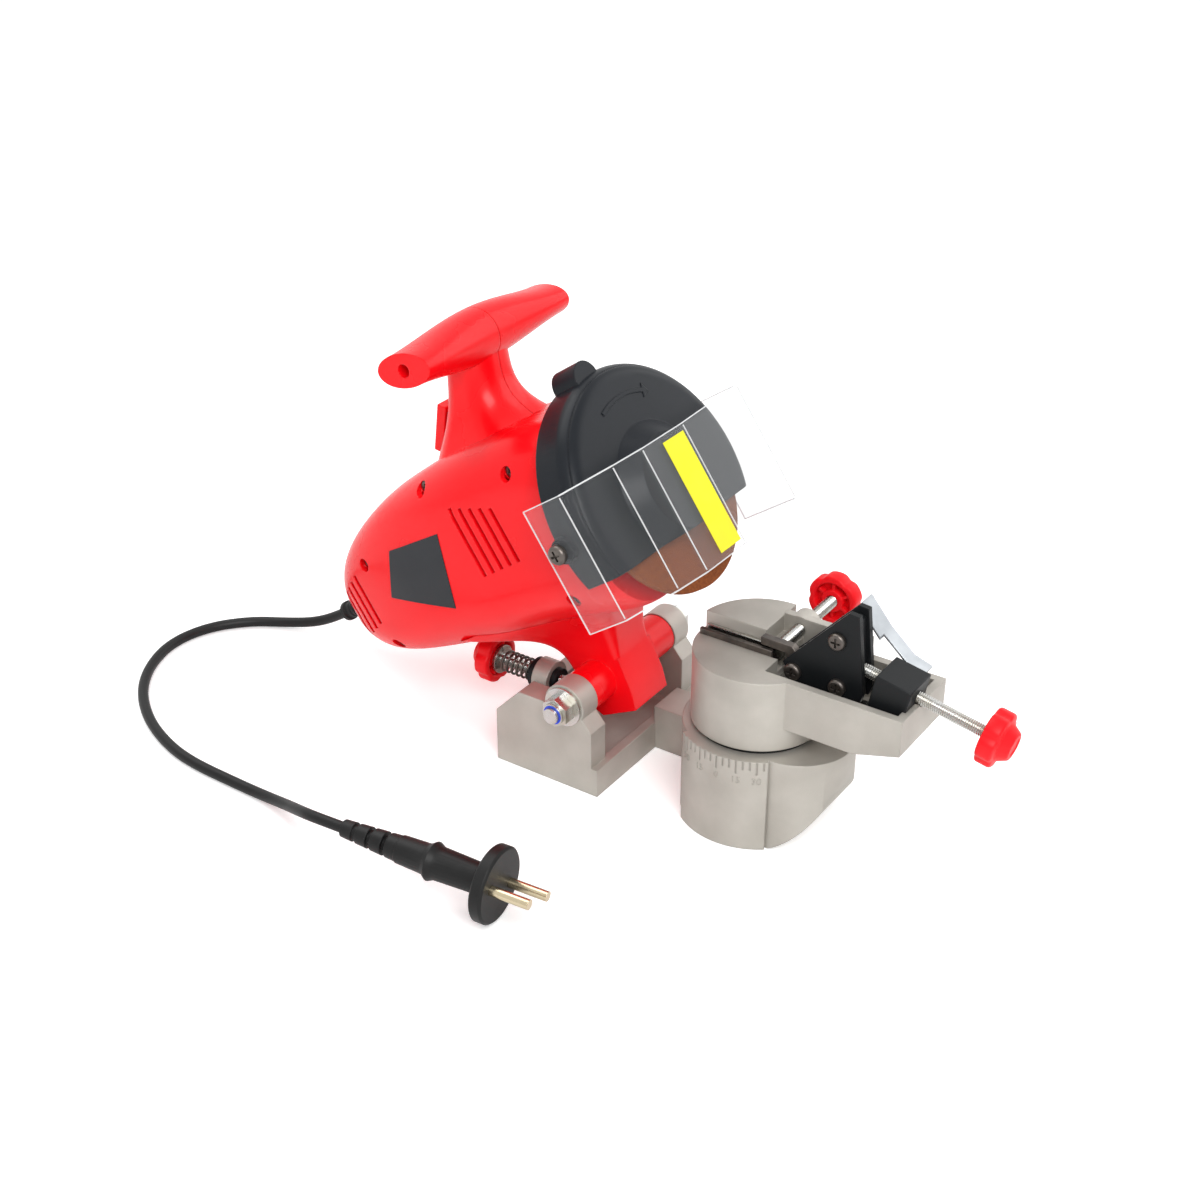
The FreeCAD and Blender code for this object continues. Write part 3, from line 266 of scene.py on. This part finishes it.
@dataclass
class Bench:
    """Keeps the frame, the built materials and the ways to add pieces."""

    frame: dict
    made: dict[str, bpy.types.Material] = field(default_factory=dict)

    def material(self, finish: Finish | ClearSheet) -> bpy.types.Material:
        """Return the material of a finish, built once."""
        if finish.name not in self.made:
            self.made[finish.name] = finish.build()
        return self.made[finish.name]

    def body_of(self, node: str) -> str:
        """Return the body that holds a node."""
        bodies = self.frame["record"]["behaviour"]["bodies"]
        return next(body for body, nodes in bodies.items() if node in nodes)

    def slot_of(self, node: str) -> Slot:
        """Return the material slot of a node."""
        parts = self.frame["record"]["subparts"]
        return Slot(next(part["material_slot"] for part in parts if part["node"] == node))

    def add(self, name: str, mesh: bmesh.types.BMesh, body: str, slot: Slot,
            finish: Finish | ClearSheet | None = None, replaced: tuple[str, ...] = (),
            crease: float = 35.0) -> bpy.types.Object:
        """Make a piece from a bmesh, ride it on its body and give it the material of its finish or slot.

        Args:
            name: Piece name.
            mesh: The shape, which this call frees.
            body: Body that the piece moves with.
            slot: Material slot.
            finish: Finish, or None for the slot's own.
            replaced: Nodes that the piece stands for.
            crease: Angle in degrees past which an edge stays sharp.

        Returns:
            The new object.
        """
        for face in mesh.faces:
            face.smooth = True
        for edge in mesh.edges:
            edge.smooth = len(edge.link_faces) == 2 and edge.calc_face_angle(0.0) < math.radians(crease)
        data = bpy.data.meshes.new(name)
        mesh.to_mesh(data)
        mesh.free()
        piece = bpy.data.objects.new(name, data)
        bpy.context.scene.collection.objects.link(piece)
        piece.data.materials.append(self.material(finish or FINISHES[slot]))
        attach(piece, body)
        if replaced:
            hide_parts(*replaced)
        LOG.info("%s rides on %s", name, body)
        return piece

    def dress_nodes(self) -> None:
        """Give every carried-over node the finish of its slot."""
        for name, node in self.frame["nodes"].items():
            slot = self.slot_of(name)
            finish = SHEET_FINISH if slot is Slot.CLEAR else NODE_FINISHES.get(name, FINISHES[slot])
            for place in node.material_slots:
                place.material = self.material(finish)

    def rounded(self, node: str, width: float, limit: float = 40.0) -> bpy.types.Object:
        """Replace a node with a copy whose sharp edges are bevelled.

        Args:
            node: Node to stand for.
            width: Width of the bevel in metres.
            limit: Angle in degrees past which an edge is bevelled.

        Returns:
            The new object.
        """
        mesh = self.copy_node(node)
        bmesh.ops.dissolve_limit(mesh, angle_limit=math.radians(FLAT_DEG), verts=mesh.verts,
                                 edges=mesh.edges)
        piece = self.add(node + "_finished", mesh, self.body_of(node), self.slot_of(node),
                         NODE_FINISHES.get(node), (node,))
        bevel = piece.modifiers.new("rounding", "BEVEL")
        bevel.width = width
        bevel.segments = 2
        bevel.limit_method = "ANGLE"
        bevel.angle_limit = math.radians(limit)
        return piece

    def copy_node(self, node: str) -> bmesh.types.BMesh:
        """Return a merged copy of a node's mesh."""
        mesh = bmesh.new()
        mesh.from_mesh(self.frame["nodes"][node].data)
        bmesh.ops.remove_doubles(mesh, verts=mesh.verts, dist=MERGE_NODE)
        return mesh


class Shapes:
    """Small forms that several assemblies share."""

    @staticmethod
    def aim(start: Vector, direction: Vector) -> Matrix:
        """Return the matrix that carries +Z at the origin to a start and a direction."""
        turn = Vector((0, 0, 1)).rotation_difference(direction).to_matrix().to_4x4()
        return Matrix.Translation(start) @ turn

    @staticmethod
    def lathe(profile: list[tuple[float, float]], segments: int) -> bmesh.types.BMesh:
        """Return a turned form of (radius, height) points about Z.

        Args:
            profile: Points from the lower to the upper pole.
            segments: Steps round the axis.

        Returns:
            The closed form.
        """
        mesh = bmesh.new()
        chain = [mesh.verts.new((radius, 0, height)) for radius, height in profile]
        for low, high in zip(chain, chain[1:]):
            mesh.edges.new((low, high))
        bmesh.ops.spin(mesh, geom=mesh.verts[:] + mesh.edges[:], cent=(0, 0, 0), axis=(0, 0, 1),
                       angle=2 * math.pi, steps=segments, use_merge=True)
        bmesh.ops.remove_doubles(mesh, verts=mesh.verts, dist=MERGE_TURNED)
        bmesh.ops.recalc_face_normals(mesh, faces=mesh.faces)
        return mesh

    @staticmethod
    def threaded(length: float, radius: float, pitch: float, plain: float) -> bmesh.types.BMesh:
        """Return a ringed rod along Z that reads as a thread, with a plain and chamfered first stretch.

        Args:
            length: Length of the rod.
            radius: Radius over the crests.
            pitch: Distance between crests.
            plain: Length of the plain first stretch.

        Returns:
            The closed form.
        """
        root = radius - THREAD_DEPTH * pitch
        stretch = max(plain, LEAST_PLAIN)
        profile = [(0.0, 0.0), (radius - ROD_CHAMFER, 0.0), (radius, ROD_CHAMFER), (radius, stretch)]
        height = stretch + pitch / 2
        while height < length - pitch:
            profile += [(root, height), (radius, height + pitch / 2)]
            height += pitch
        profile += [(root, length), (0.0, length)]
        return Shapes.lathe(profile, 24)


@dataclass
class Studio:
    """Floor, lamps, world and camera."""

    azimuth: float = -55.8
    elevation: float = 29.7
    distance: float = 0.8811
    target: tuple[float, float, float] = (0.0, -0.0464, 0.0812)
    shift_right: float = -0.0477
    shift_up: float = 0.0129
    focal_px: float = 1871.3
    frame_px: float = 1200.0
    sensor: float = 36.0
    floor_drop: float = 0.2 * MM
    floor_glow: float = 0.3
    room_light: tuple[float, float] = (0.5, 1.0)

    def build(self) -> None:
        """Make the whole studio."""
        self.make_camera()
        self.make_floor()
        self.make_lamps()
        self.make_world()

    def make_camera(self) -> None:
        """Place the camera where the photograph was taken from."""
        a, e = math.radians(self.azimuth), math.radians(self.elevation)
        back = Vector((math.sin(a) * math.cos(e), -math.cos(a) * math.cos(e), math.sin(e)))
        right = Vector((math.cos(a), math.sin(a), 0))
        up = back.cross(right)
        eye = Vector(self.target) + right * self.shift_right + up * self.shift_up + back * self.distance
        data = bpy.data.cameras.new("camera")
        data.sensor_fit = "HORIZONTAL"
        data.sensor_width = self.sensor
        data.lens = self.sensor * self.focal_px / self.frame_px
        data.clip_start = 0.01
        camera = bpy.data.objects.new("camera", data)
        camera.matrix_world = Matrix.Translation(eye) @ Matrix((right, up, back)).transposed().to_4x4()
        bpy.context.scene.collection.objects.link(camera)
        bpy.context.scene.camera = camera

    def make_floor(self) -> None:
        """Lay a wide pale floor that glows a little to the camera alone."""
        mesh = bmesh.new()
        bmesh.ops.create_circle(mesh, cap_ends=True, radius=4.0, segments=64)
        data = bpy.data.meshes.new("floor")
        mesh.to_mesh(data)
        mesh.free()
        floor = bpy.data.objects.new("floor", data)
        floor.location.z = -self.floor_drop
        bpy.context.scene.collection.objects.link(floor)
        material = bpy.data.materials.new("floor")
        material.use_nodes = True
        shader = material.node_tree.nodes["Principled BSDF"]
        shader.inputs["Base Color"].default_value = (0.97, 0.97, 0.97, 1)
        shader.inputs["Roughness"].default_value = 0.7
        shader.inputs["Emission Color"].default_value = (1, 1, 1, 1)
        glow = material.node_tree.nodes.new("ShaderNodeMath")
        glow.operation = "MULTIPLY"
        glow.inputs[1].default_value = self.floor_glow
        path = material.node_tree.nodes.new("ShaderNodeLightPath")
        material.node_tree.links.new(path.outputs["Is Camera Ray"], glow.inputs[0])
        material.node_tree.links.new(glow.outputs["Value"], shader.inputs["Emission Strength"])
        floor.data.materials.append(material)

    @staticmethod
    def make_lamps() -> None:
        """Hang three large soft lamps."""
        lamps = (
            ("key", (-1.0, -0.9, 1.3), 1.0, 24.0),
            ("fill", (1.2, -0.6, 0.9), 1.2, 6.0),
            ("top", (0.1, 0.9, 1.6), 1.2, 12.0))
        middle = Vector((0, 0, 0.08))
        for name, place, size, power in lamps:
            data = bpy.data.lights.new(name, "AREA")
            data.size = size
            data.energy = power
            lamp = bpy.data.objects.new(name, data)
            aim = Vector(place) - middle
            lamp.matrix_world = Matrix.Translation(place) @ aim.to_track_quat("Z", "Y").to_matrix().to_4x4()
            bpy.context.scene.collection.objects.link(lamp)

    def make_world(self) -> None:
        """Light the room softly, with a white background to camera, gloss and glass."""
        world = bpy.data.worlds.new("world")
        world.use_nodes = True
        bpy.context.scene.world = world
        tree = world.node_tree
        back = tree.nodes["Background"]
        back.inputs["Color"].default_value = (1, 1, 1, 1)
        path = tree.nodes.new("ShaderNodeLightPath")
        total = path.outputs["Is Camera Ray"]
        for name in ("Is Glossy Ray", "Is Transmission Ray"):
            add = tree.nodes.new("ShaderNodeMath")
            add.operation = "MAXIMUM"
            tree.links.new(total, add.inputs[0])
            tree.links.new(path.outputs[name], add.inputs[1])
            total = add.outputs[0]
        strength = tree.nodes.new("ShaderNodeMapRange")
        strength.inputs["To Min"].default_value, strength.inputs["To Max"].default_value = self.room_light
        tree.links.new(total, strength.inputs["Value"])
        tree.links.new(strength.outputs["Result"], back.inputs["Strength"])


@dataclass
class TiltFrame:
    """The head's own frame: forward p, sideways x and up q, tilted back about the hinge."""

    hinge_z: float = 45.5 * MM
    tilt_deg: float = 35.1
    head_x: float = -4.0 * MM
    wheel_x: float = -8.5 * MM
    wheel_q: float = 72.0 * MM

    def matrix(self) -> Matrix:
        """Return the matrix from (x, -p, q) to the row frame."""
        lean = Matrix.Rotation(-math.radians(self.tilt_deg), 4, "X")
        return Matrix.Translation((0, 0, self.hinge_z)) @ lean

    def point(self, p: float, x: float, q: float) -> Vector:
        """Return a point of the head in the row frame, from millimetres."""
        return self.matrix() @ Vector((x * MM, -p * MM, q * MM))

    def turn(self, direction: tuple[float, float, float]) -> Vector:
        """Return a direction of the head in the row frame."""
        return self.matrix().to_3x3() @ Vector(direction)


@dataclass
class Lead:
    """Mains cord, its ribbed sleeve and the plug, routed in millimetres."""

    bench: Bench
    tilted: TiltFrame
    radius: float = 2.75 * MM
    length: float = 0.3601
    exit_p: float = -157.0
    exit_q: float = 79.5
    tail_p: float = -110.0
    tail: tuple[float, float, float] = (-155.7, 44.9, 22)
    route: tuple[tuple[float, float, float], ...] = (
        (-4, 184, 13.35), (-6, 198, 6.4), (-11, 215, 3.2), (-20, 232, 2.8), (-38, 247, 2.8),
        (-61, 252, 2.8), (-84, 245, 2.8), (-104, 231, 2.8), (-120, 211, 2.8), (-131, 189, 2.8),
        (-138, 164, 2.8), (-138.8, 127.4, 2.8), (-139.5, 110, 3.6),
        (-144.5, 91.5, 9.2), (-152.8, 75, 17.6), (-157.4, 61.4, 22.4))
    ribs: int = 7
    collar: float = 5.6 * MM
    rib_radius: float = 5.5
    rib_taper: float = 0.12
    groove: float = 0.6 * MM

    def build(self) -> None:
        """Lay the cord, then make its sleeve."""
        exit_at = self.tilted.point(self.exit_p, self.tilted.head_x / MM, self.exit_q)
        points = [exit_at] + [Vector(point) * MM for point in self.route] + [Vector(self.tail) * MM]
        curve = bpy.data.curves.new("mains_lead", "CURVE")
        curve.dimensions = "3D"
        curve.bevel_resolution = 5
        curve.resolution_u = 12
        curve.use_fill_caps = True
        spline = curve.splines.new("NURBS")
        spline.points.add(len(points) - 1)
        for control, point in zip(spline.points, points):
            control.co = (*point, 1)
        spline.order_u = 3
        spline.use_endpoint_u = True
        holder = bpy.data.objects.new("lead_route", curve)
        line = bpy.data.meshes.new_from_object(holder)
        curve.bevel_depth = self.radius
        lead = bpy.data.objects.new("mains_lead", bpy.data.meshes.new_from_object(holder))
        bpy.data.objects.remove(holder)
        bpy.context.scene.collection.objects.link(lead)
        lead.data.shade_smooth()
        lead.data.materials.append(self.bench.material(FINISHES[Slot.RUBBER]))
        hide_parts("mains_cord")
        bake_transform(lead)
        plug = self.bench.rounded("plug_body", 0.5 * MM)
        self.make_sleeve(exit_at)

    def make_sleeve(self, exit_at: Vector) -> None:
        """Turn the tapered sleeve with its ribs and its end ring."""
        reach = (self.tail_p - self.exit_p) * MM
        profile = [(0.0, 0.0), (self.collar, 0.0), (self.collar, reach * 0.42)]
        for i in range(self.ribs):
            at = reach * (0.45 + 0.46 * i / self.ribs)
            wide = (self.rib_radius - self.rib_taper * i) * MM
            profile += [(wide - self.groove, at), (wide, at + 0.7 * MM)]
            profile += [(wide, at + 2.0 * MM), (wide - self.groove, at + 2.6 * MM)]
        profile += [(4.6 * MM, reach * 0.93), (5.4 * MM, reach * 0.94), (5.4 * MM, reach * 0.99)]
        profile += [(4.8 * MM, reach), (0.0, reach)]
        mesh = Shapes.lathe(profile, 40)
        way = self.tilted.turn((0, 1, 0))
        mesh.transform(Shapes.aim(exit_at - way * reach, way))
        self.bench.add("cord_sleeve_ribbed", mesh, "head", Slot.RUBBER, replaced=("cord_sleeve",))


@dataclass
class Castings:
    """Base casting and turning vise with rounded cast edges, and the angle scale's numbers."""

    bench: Bench
    centre: tuple[float, float] = (-8.5 * MM, -83.2 * MM)
    radius: float = 36.9 * MM
    number_z: float = 36.4 * MM
    number_size: float = 4.8 * MM
    number_rise: float = 0.25 * MM
    tick_deg: float = 5.0
    numbers: tuple[tuple[int, int], ...] = ((30, -6), (15, -3), (0, 0), (15, 3), (30, 6))
    rounds: tuple[tuple[str, float], ...] = (
        ("base_casting", 1.0), ("vise_head", 0.9), ("nut_block", 0.8), ("near_rail", 0.3),
        ("stop_plate_near", 0.5), ("stop_plate_far", 0.5), ("clamp_plate", 0.3), ("stop_pawl", 0.4),
        ("stop_lever", 0.2))

    def build(self) -> None:
        """Round the castings' edges and set the numbers."""
        for node, width in self.rounds:
            self.bench.rounded(node, width * MM)
        for number, step in self.numbers:
            self.set_number(number, step)

    def set_number(self, number: int, step: int) -> None:
        """Raise one number on the scale band, a number of ticks from the middle."""
        text = bpy.data.curves.new("number", "FONT")
        text.body = str(number)
        text.size = self.number_size
        text.align_x = "CENTER"
        text.extrude = self.number_rise
        holder = bpy.data.objects.new("number", text)
        flat = bpy.data.meshes.new_from_object(holder)
        mesh = bmesh.new()
        mesh.from_mesh(flat)
        bmesh.ops.remove_doubles(mesh, verts=mesh.verts, dist=MERGE_NODE)
        bmesh.ops.triangulate(mesh, faces=mesh.faces)
        for vert in mesh.verts:
            angle = math.radians(step * self.tick_deg) + vert.co.x / self.radius
            out = self.radius + vert.co.z
            vert.co = Vector((self.centre[0] - out * math.cos(angle), self.centre[1] - out * math.sin(angle),
                              self.number_z + vert.co.y))
        side = "left" if step > 0 else "right" if step < 0 else "mid"
        self.bench.add(f"scale_number_{number}_{side}", mesh, "base", Slot.CAST)


@dataclass
class Knobs:
    """Lobed red knobs with threaded rods.

    Attributes:
        bench: Where the pieces are added.
        radius: Radius over a knob's lobes.
        depth: Length of a knob along its screw.
        lobes: Lobes round a knob.
        lobe_steps: Steps round one lobe.
        groove_share: Depth of a groove as a share of the radius.
        groove_power: How narrow a groove is.
        hub_segments: Steps round the hub.
        spokes: Bars that cross in the knob's dish.
        screw_radius: Radius over the thread.
        pitch: Pitch of the thread.
        slant_deg: Slope of the chain stop's screw.
        nut: Where that screw meets its nut block, in millimetres.
        rows: Share of the radius, share of the depth and share of the groove, row by row.
    """

    bench: Bench
    radius: float = 13.0 * MM
    depth: float = 13.0 * MM
    lobes: int = 6
    lobe_steps: int = 16
    groove_share: float = 0.085
    groove_power: int = 4
    hub_segments: int = 32
    spokes: int = 3
    screw_radius: float = 3.0 * MM
    pitch: float = 1.0 * MM
    slant_deg: float = 11.0
    nut: tuple[float, float, float] = (-8.5, -152.0, 90.4)
    rows: tuple[tuple[float, float, float], ...] = (
        (0.0, 0.34, 0.0), (0.62, 0.34, 0.0), (0.70, 0.32, 0.0), (0.72, 0.03, 0.0), (0.75, 0.0, 0.1),
        (0.90, 0.0, 0.8), (0.97, 0.025, 1.0), (1.0, 0.08, 1.0), (1.0, 0.50, 1.0), (0.975, 0.565, 1.0),
        (0.92, 0.60, 0.9), (0.78, 0.62, 0.1), (0.72, 0.64, 0.0), (0.68, 0.68, 0.0), (0.53, 0.94, 0.0),
        (0.50, 0.98, 0.0), (0.46, 1.0, 0.0), (0.36, 1.0, 0.0), (0.33, 0.97, 0.0), (0.0, 0.96, 0.0))

    def build(self) -> None:
        """Make the three knobs and their rods."""
        slant = math.radians(self.slant_deg)
        back, side = Vector((0, 1, 0)), Vector((1, 0, 0))
        out = Vector((0, -math.cos(slant), -math.sin(slant)))
        nut = Vector(self.nut) * MM
        self.make_knob("depth_knob", "depth_adjuster", Vector((-9.0, 66.25, 30.0)) * MM, back)
        self.make_knob("clamp_knob", "clamp_spindle", Vector((43.0, -92.0, 89.5)) * MM, side)
        self.make_knob("adjusting_knob", "adjuster", nut + out * 44.0 * MM, out)
        self.make_rod("depth_screw", "depth_adjuster", Vector((-9.0, 9.4, 30.0)) * MM, back, 64.0, 2.0)
        self.make_rod("clamp_screw", "clamp_spindle", Vector((-5.5, -92.0, 89.5)) * MM, side, 56.0, 1.0)
        self.make_rod("adjusting_screw", "adjuster", nut - out * 38.0 * MM, out, 90.0, 1.0)

    def make_rod(self, node: str, body: str, start: Vector, way: Vector, length: float,
                 plain: float) -> None:
        """Replace a screw with a threaded rod, its length and plain stretch in millimetres."""
        mesh = Shapes.threaded(length * MM, self.screw_radius, self.pitch, plain * MM)
        mesh.transform(Shapes.aim(start, way))
        self.bench.add(node + "_threaded", mesh, body, Slot.ZINC, replaced=(node,), crease=25)

    def make_knob(self, node: str, body: str, start: Vector, way: Vector) -> None:
        """Replace a knob with a rounded lobed one, dished towards its screw."""
        mesh = bmesh.new()
        steps = self.lobe_steps * self.lobes
        loops = []
        for scale, height, share in self.rows:
            loop = []
            for i in range(steps if scale else 1):
                angle = 2 * math.pi * i / steps
                groove = (0.5 - 0.5 * math.cos(self.lobes * angle)) ** self.groove_power
                reach = self.radius * scale * (1.0 - self.groove_share * share * groove)
                x, y = reach * math.cos(angle), reach * math.sin(angle)
                loop.append(mesh.verts.new((x, y, height * self.depth)))
            loops.append(loop)
        for low, high in zip(loops, loops[1:]):
            for i in range(steps):
                after = (i + 1) % steps
                corners = (low[i % len(low)], low[after % len(low)],
                           high[after % len(high)], high[i % len(high)])
                mesh.faces.new(list(dict.fromkeys(corners)))
        bmesh.ops.recalc_face_normals(mesh, faces=mesh.faces)
        mesh.transform(Shapes.aim(start, way))
        self.bench.add(node + "_lobed", mesh, body, Slot.KNOB, replaced=(node,), crease=42)
        self.make_hub(node, body, start, way)

    def make_hub(self, node: str, body: str, start: Vector, way: Vector) -> None:
        """Set a ring with crossing bars in a knob's dish."""
        bore, low, wide, high = 3.05 * MM, 0.1 * MM, 5.6 * MM, 4.4 * MM
        ring = [(bore, low), (5.4 * MM, low), (wide, 0.4 * MM), (wide, high), (bore, high), (bore, low)]
        hub = Shapes.lathe(ring, self.hub_segments)
        for i in range(self.spokes):
            rib = bmesh.ops.create_cube(hub, size=1.0)["verts"]
            bmesh.ops.scale(hub, vec=(17.6 * MM, 1.4 * MM, 3.2 * MM), verts=rib)
            bmesh.ops.translate(hub, vec=(0, 0, 2.4 * MM), verts=rib)
            spin = Matrix.Rotation(math.pi * i / self.spokes, 3, "Z")
            bmesh.ops.rotate(hub, verts=rib, matrix=spin, cent=(0, 0, 0))
        hub.transform(Shapes.aim(start, way))
        self.bench.add(node + "_hub", hub, body, Slot.KNOB)


@dataclass
class Housing:
    """Red shells, bare badges, guard arrow, painted highlights on the shield's bends and edges, and the
    shield's label.

    Attributes:
        bench: Where the pieces are added.
        tilted: The head's own frame.
        badge: Corners of the badge as (y, z) in millimetres.
        badge_lift: Height of the badge above the shell.
        badge_skirt: Depth of the badge's rim towards the shell.
        badge_steps: Steps of the badge's grid each way.
        ray_from: Distance from the middle plane at which the rays to the shell start.
        seam: How far each shell is drawn back from the parting plane.
        seam_reach: How near to that plane a point of the rim lies.
        sheet: Outer line of the shield as (x, p) in millimetres.
        sheet_q: Lower and upper edge of the shield in millimetres.
        crease_width: Width of the painted highlight strip on a bend in millimetres.
        edge_width: Width of the painted highlight strip on a cut edge in millimetres.
        label: Width, thickness and length of the yellow strip.
        label_inset: Distance of the strip's middle from its facet's bend in millimetres.
        label_lift: Height of the strip above the facet in millimetres.
        guard_p: The guard's front face in millimetres ahead of the hinge.
        rounds: Nodes whose edges are bevelled, with the width in millimetres.
    """

    bench: Bench
    tilted: TiltFrame
    badge: tuple[tuple[float, float], ...] = ((103.0, 98.0), (70.5, 118.0), (61.5, 80.0), (105.0, 70.5))
    badge_lift: float = 0.35 * MM
    badge_skirt: float = 1.2 * MM
    badge_steps: int = 24
    ray_from: float = 0.2
    seam: float = 0.22 * MM
    seam_reach: float = 0.02 * MM
    sheet: tuple[tuple[float, float], ...] = (
        (-74.5, 65.0), (-74.5, 87.9), (-52.9, 103.8), (-37.4, 110.0), (-5.8, 110.8), (59.5, 98.15),
        (59.5, 65.0))
    sheet_q: tuple[float, float] = (33.0, 94.0)
    crease_width: float = 0.45
    edge_width: float = 0.5
    label: tuple[float, float, float] = (16 * MM, 0.2 * MM, 55 * MM)
    label_inset: float = 10.0
    label_lift: float = 0.12
    guard_p: float = 89.0
    rounds: tuple[tuple[str, float], ...] = (
        ("left_shell", 0.35), ("right_shell", 0.35), ("hinge_arm", 0.8), ("switch_bezel", 0.4),
        ("switch_rocker", 0.3), ("wheel_guard", 0.5))

    def build(self) -> None:
        """Smooth the shells and add what sits on them."""
        for node, width in self.rounds:
            piece = self.bench.rounded(node, width * MM, 50.0)
            if node.endswith("shell"):
                self.open_seam(piece)
        self.make_badge("left_shell", -1)
        self.make_badge("right_shell", 1)
        self.make_sheet_edges()
        self.make_label()
        self.make_arrow()

    def open_seam(self, piece: bpy.types.Object) -> None:
        """Draw a shell's rim back from the parting plane, so that the seam shows as a fine dark line."""
        step = math.copysign(self.seam, sum(vert.co.x for vert in piece.data.vertices))
        for vert in piece.data.vertices:
            if abs(vert.co.x - self.tilted.head_x) < self.seam_reach:
                vert.co.x += step

    def make_badge(self, node: str, side: int) -> None:
        """Lay a thin bare badge on a shell, on the side that faces -X (-1) or +X (1)."""
        shell = self.bench.copy_node(node)
        tree = BVHTree.FromBMesh(shell)
        shell.free()
        mesh = bmesh.new()
        bmesh.ops.create_grid(mesh, x_segments=self.badge_steps, y_segments=self.badge_steps, size=0.5)
        a, b, c, d = (Vector(corner) * MM for corner in self.badge)
        for vert in list(mesh.verts):
            u, v = vert.co.x + 0.5, vert.co.y + 0.5
            spot = (a * (1 - u) + b * u) * (1 - v) + (d * (1 - u) + c * u) * v
            start = Vector((side * self.ray_from, spot.x, spot.y))
            hit, normal, _, _ = tree.ray_cast(start, Vector((-side, 0, 0)))
            vert.co = hit + normal * self.badge_lift
        edges = [edge for edge in mesh.edges if edge.is_boundary]
        made = bmesh.ops.extrude_edge_only(mesh, edges=edges)
        skirt = [item for item in made["geom"] if isinstance(item, bmesh.types.BMVert)]
        bmesh.ops.translate(mesh, verts=skirt, vec=(-side * self.badge_skirt, 0, 0))
        bmesh.ops.recalc_face_normals(mesh, faces=mesh.faces)
        self.bench.add("badge_" + node, mesh, "head", Slot.BLACK, BADGE_FINISH)

    def make_sheet_edges(self) -> None:
        """Paint highlights on the sheet's bends and long cut edges as thin bright strips."""
        mesh = bmesh.new()
        low, high = self.sheet_q
        for x, p in self.sheet[1:-1]:
            self.bar(mesh, Vector((x, -p, low + 1)), Vector((x, -p, high - 1)), self.crease_width)
        for q in self.sheet_q:
            for (x0, p0), (x1, p1) in zip(self.sheet, self.sheet[1:]):
                self.bar(mesh, Vector((x0, -p0, q)), Vector((x1, -p1, q)), self.edge_width)
        for x, p in (self.sheet[0], self.sheet[-1]):
            self.bar(mesh, Vector((x, -p, low)), Vector((x, -p, high)), self.edge_width)
        mesh.transform(self.tilted.matrix() @ Matrix.Scale(MM, 4))
        # These strips are painted highlights on the shield's bends and cut edges.
        self.bench.add("shield_highlights", mesh, "shield", Slot.CLEAR, EDGE_HIGHLIGHT_FINISH)

    @staticmethod
    def bar(mesh: bmesh.types.BMesh, start: Vector, end: Vector, width: float) -> None:
        """Add a square bar between two points."""
        made = bmesh.ops.create_cube(mesh, size=1.0)
        way = end - start
        bmesh.ops.scale(mesh, vec=(width, width, way.length), verts=made["verts"])
        bmesh.ops.transform(mesh, matrix=Shapes.aim((start + end) / 2, way), verts=made["verts"])

    def make_label(self) -> None:
        """Put a bare yellow strip on a facet of the shield."""
        mesh = bmesh.new()
        bmesh.ops.create_cube(mesh, size=1.0)
        bmesh.ops.scale(mesh, vec=self.label, verts=mesh.verts)
        (x0, p0), (x1, p1) = self.sheet[3], self.sheet[4]
        run = Vector((x1 - x0, -(p1 - p0), 0)).normalized()
        mesh.transform(Matrix.Rotation(math.atan2(run.y, run.x), 4, "Z"))
        out = Vector((run.y, -run.x, 0))
        height = sum(self.sheet_q) / 2
        middle = Vector((x1, -p1, height)) - run * self.label_inset + out * self.label_lift
        mesh.transform(self.tilted.matrix() @ Matrix.Translation(middle * MM))
        self.bench.add("shield_label", mesh, "shield", Slot.CLEAR, LABEL_FINISH)

    def make_arrow(self) -> None:
        """Raise a curved turning arrow on the guard's face."""
        mesh = bmesh.new()
        radius, half, barb, rise = 45.0, 1.0, 3.4, 0.4
        steps = 28
        first, last, tip_turn = math.radians(112), math.radians(70), 0.09
        thick = 0.9 * MM
        sides = (-1, 1)
        rows = []
        for i in range(steps + 1):
            angle = first + (last - first) * i / steps
            spots = [self.face_point(angle, radius + side * half, rise) for side in sides]
            rows.append([mesh.verts.new(spot) for spot in spots])
        for low, high in zip(rows, rows[1:]):
            mesh.faces.new((low[0], low[1], high[1], high[0]))
        tip = mesh.verts.new(self.face_point(last - tip_turn, radius, rise))
        wide = [mesh.verts.new(self.face_point(last, radius + side * barb, rise)) for side in sides]
        mesh.faces.new((wide[0], wide[1], tip))
        made = bmesh.ops.extrude_face_region(mesh, geom=mesh.faces[:])
        lower = [item for item in made["geom"] if isinstance(item, bmesh.types.BMVert)]
        bmesh.ops.translate(mesh, verts=lower, vec=self.tilted.turn((0, 1, 0)) * thick)
        bmesh.ops.recalc_face_normals(mesh, faces=mesh.faces)
        self.bench.add("turning_arrow", mesh, "head", Slot.BLACK, GUARD_FINISH)

    def face_point(self, angle: float, radius: float, rise: float) -> Vector:
        """Return a point above the guard's front face, from an angle and a radius in millimetres."""
        x = self.tilted.wheel_x / MM + radius * math.cos(angle)
        q = self.tilted.wheel_q / MM + radius * math.sin(angle)
        return self.tilted.point(self.guard_p + rise, x, q)


def main() -> None:
    """Build the looks in order."""
    logging.basicConfig(level=logging.INFO)
    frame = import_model()
    bpy.context.scene.view_settings.view_transform = "Standard"
    bench = Bench(frame)
    tilted = TiltFrame()
    Studio().build()
    Lead(bench, tilted).build()
    bench.dress_nodes()
    Castings(bench).build()
    Knobs(bench).build()
    Housing(bench, tilted).build()


if __name__ == "__main__":
    main()
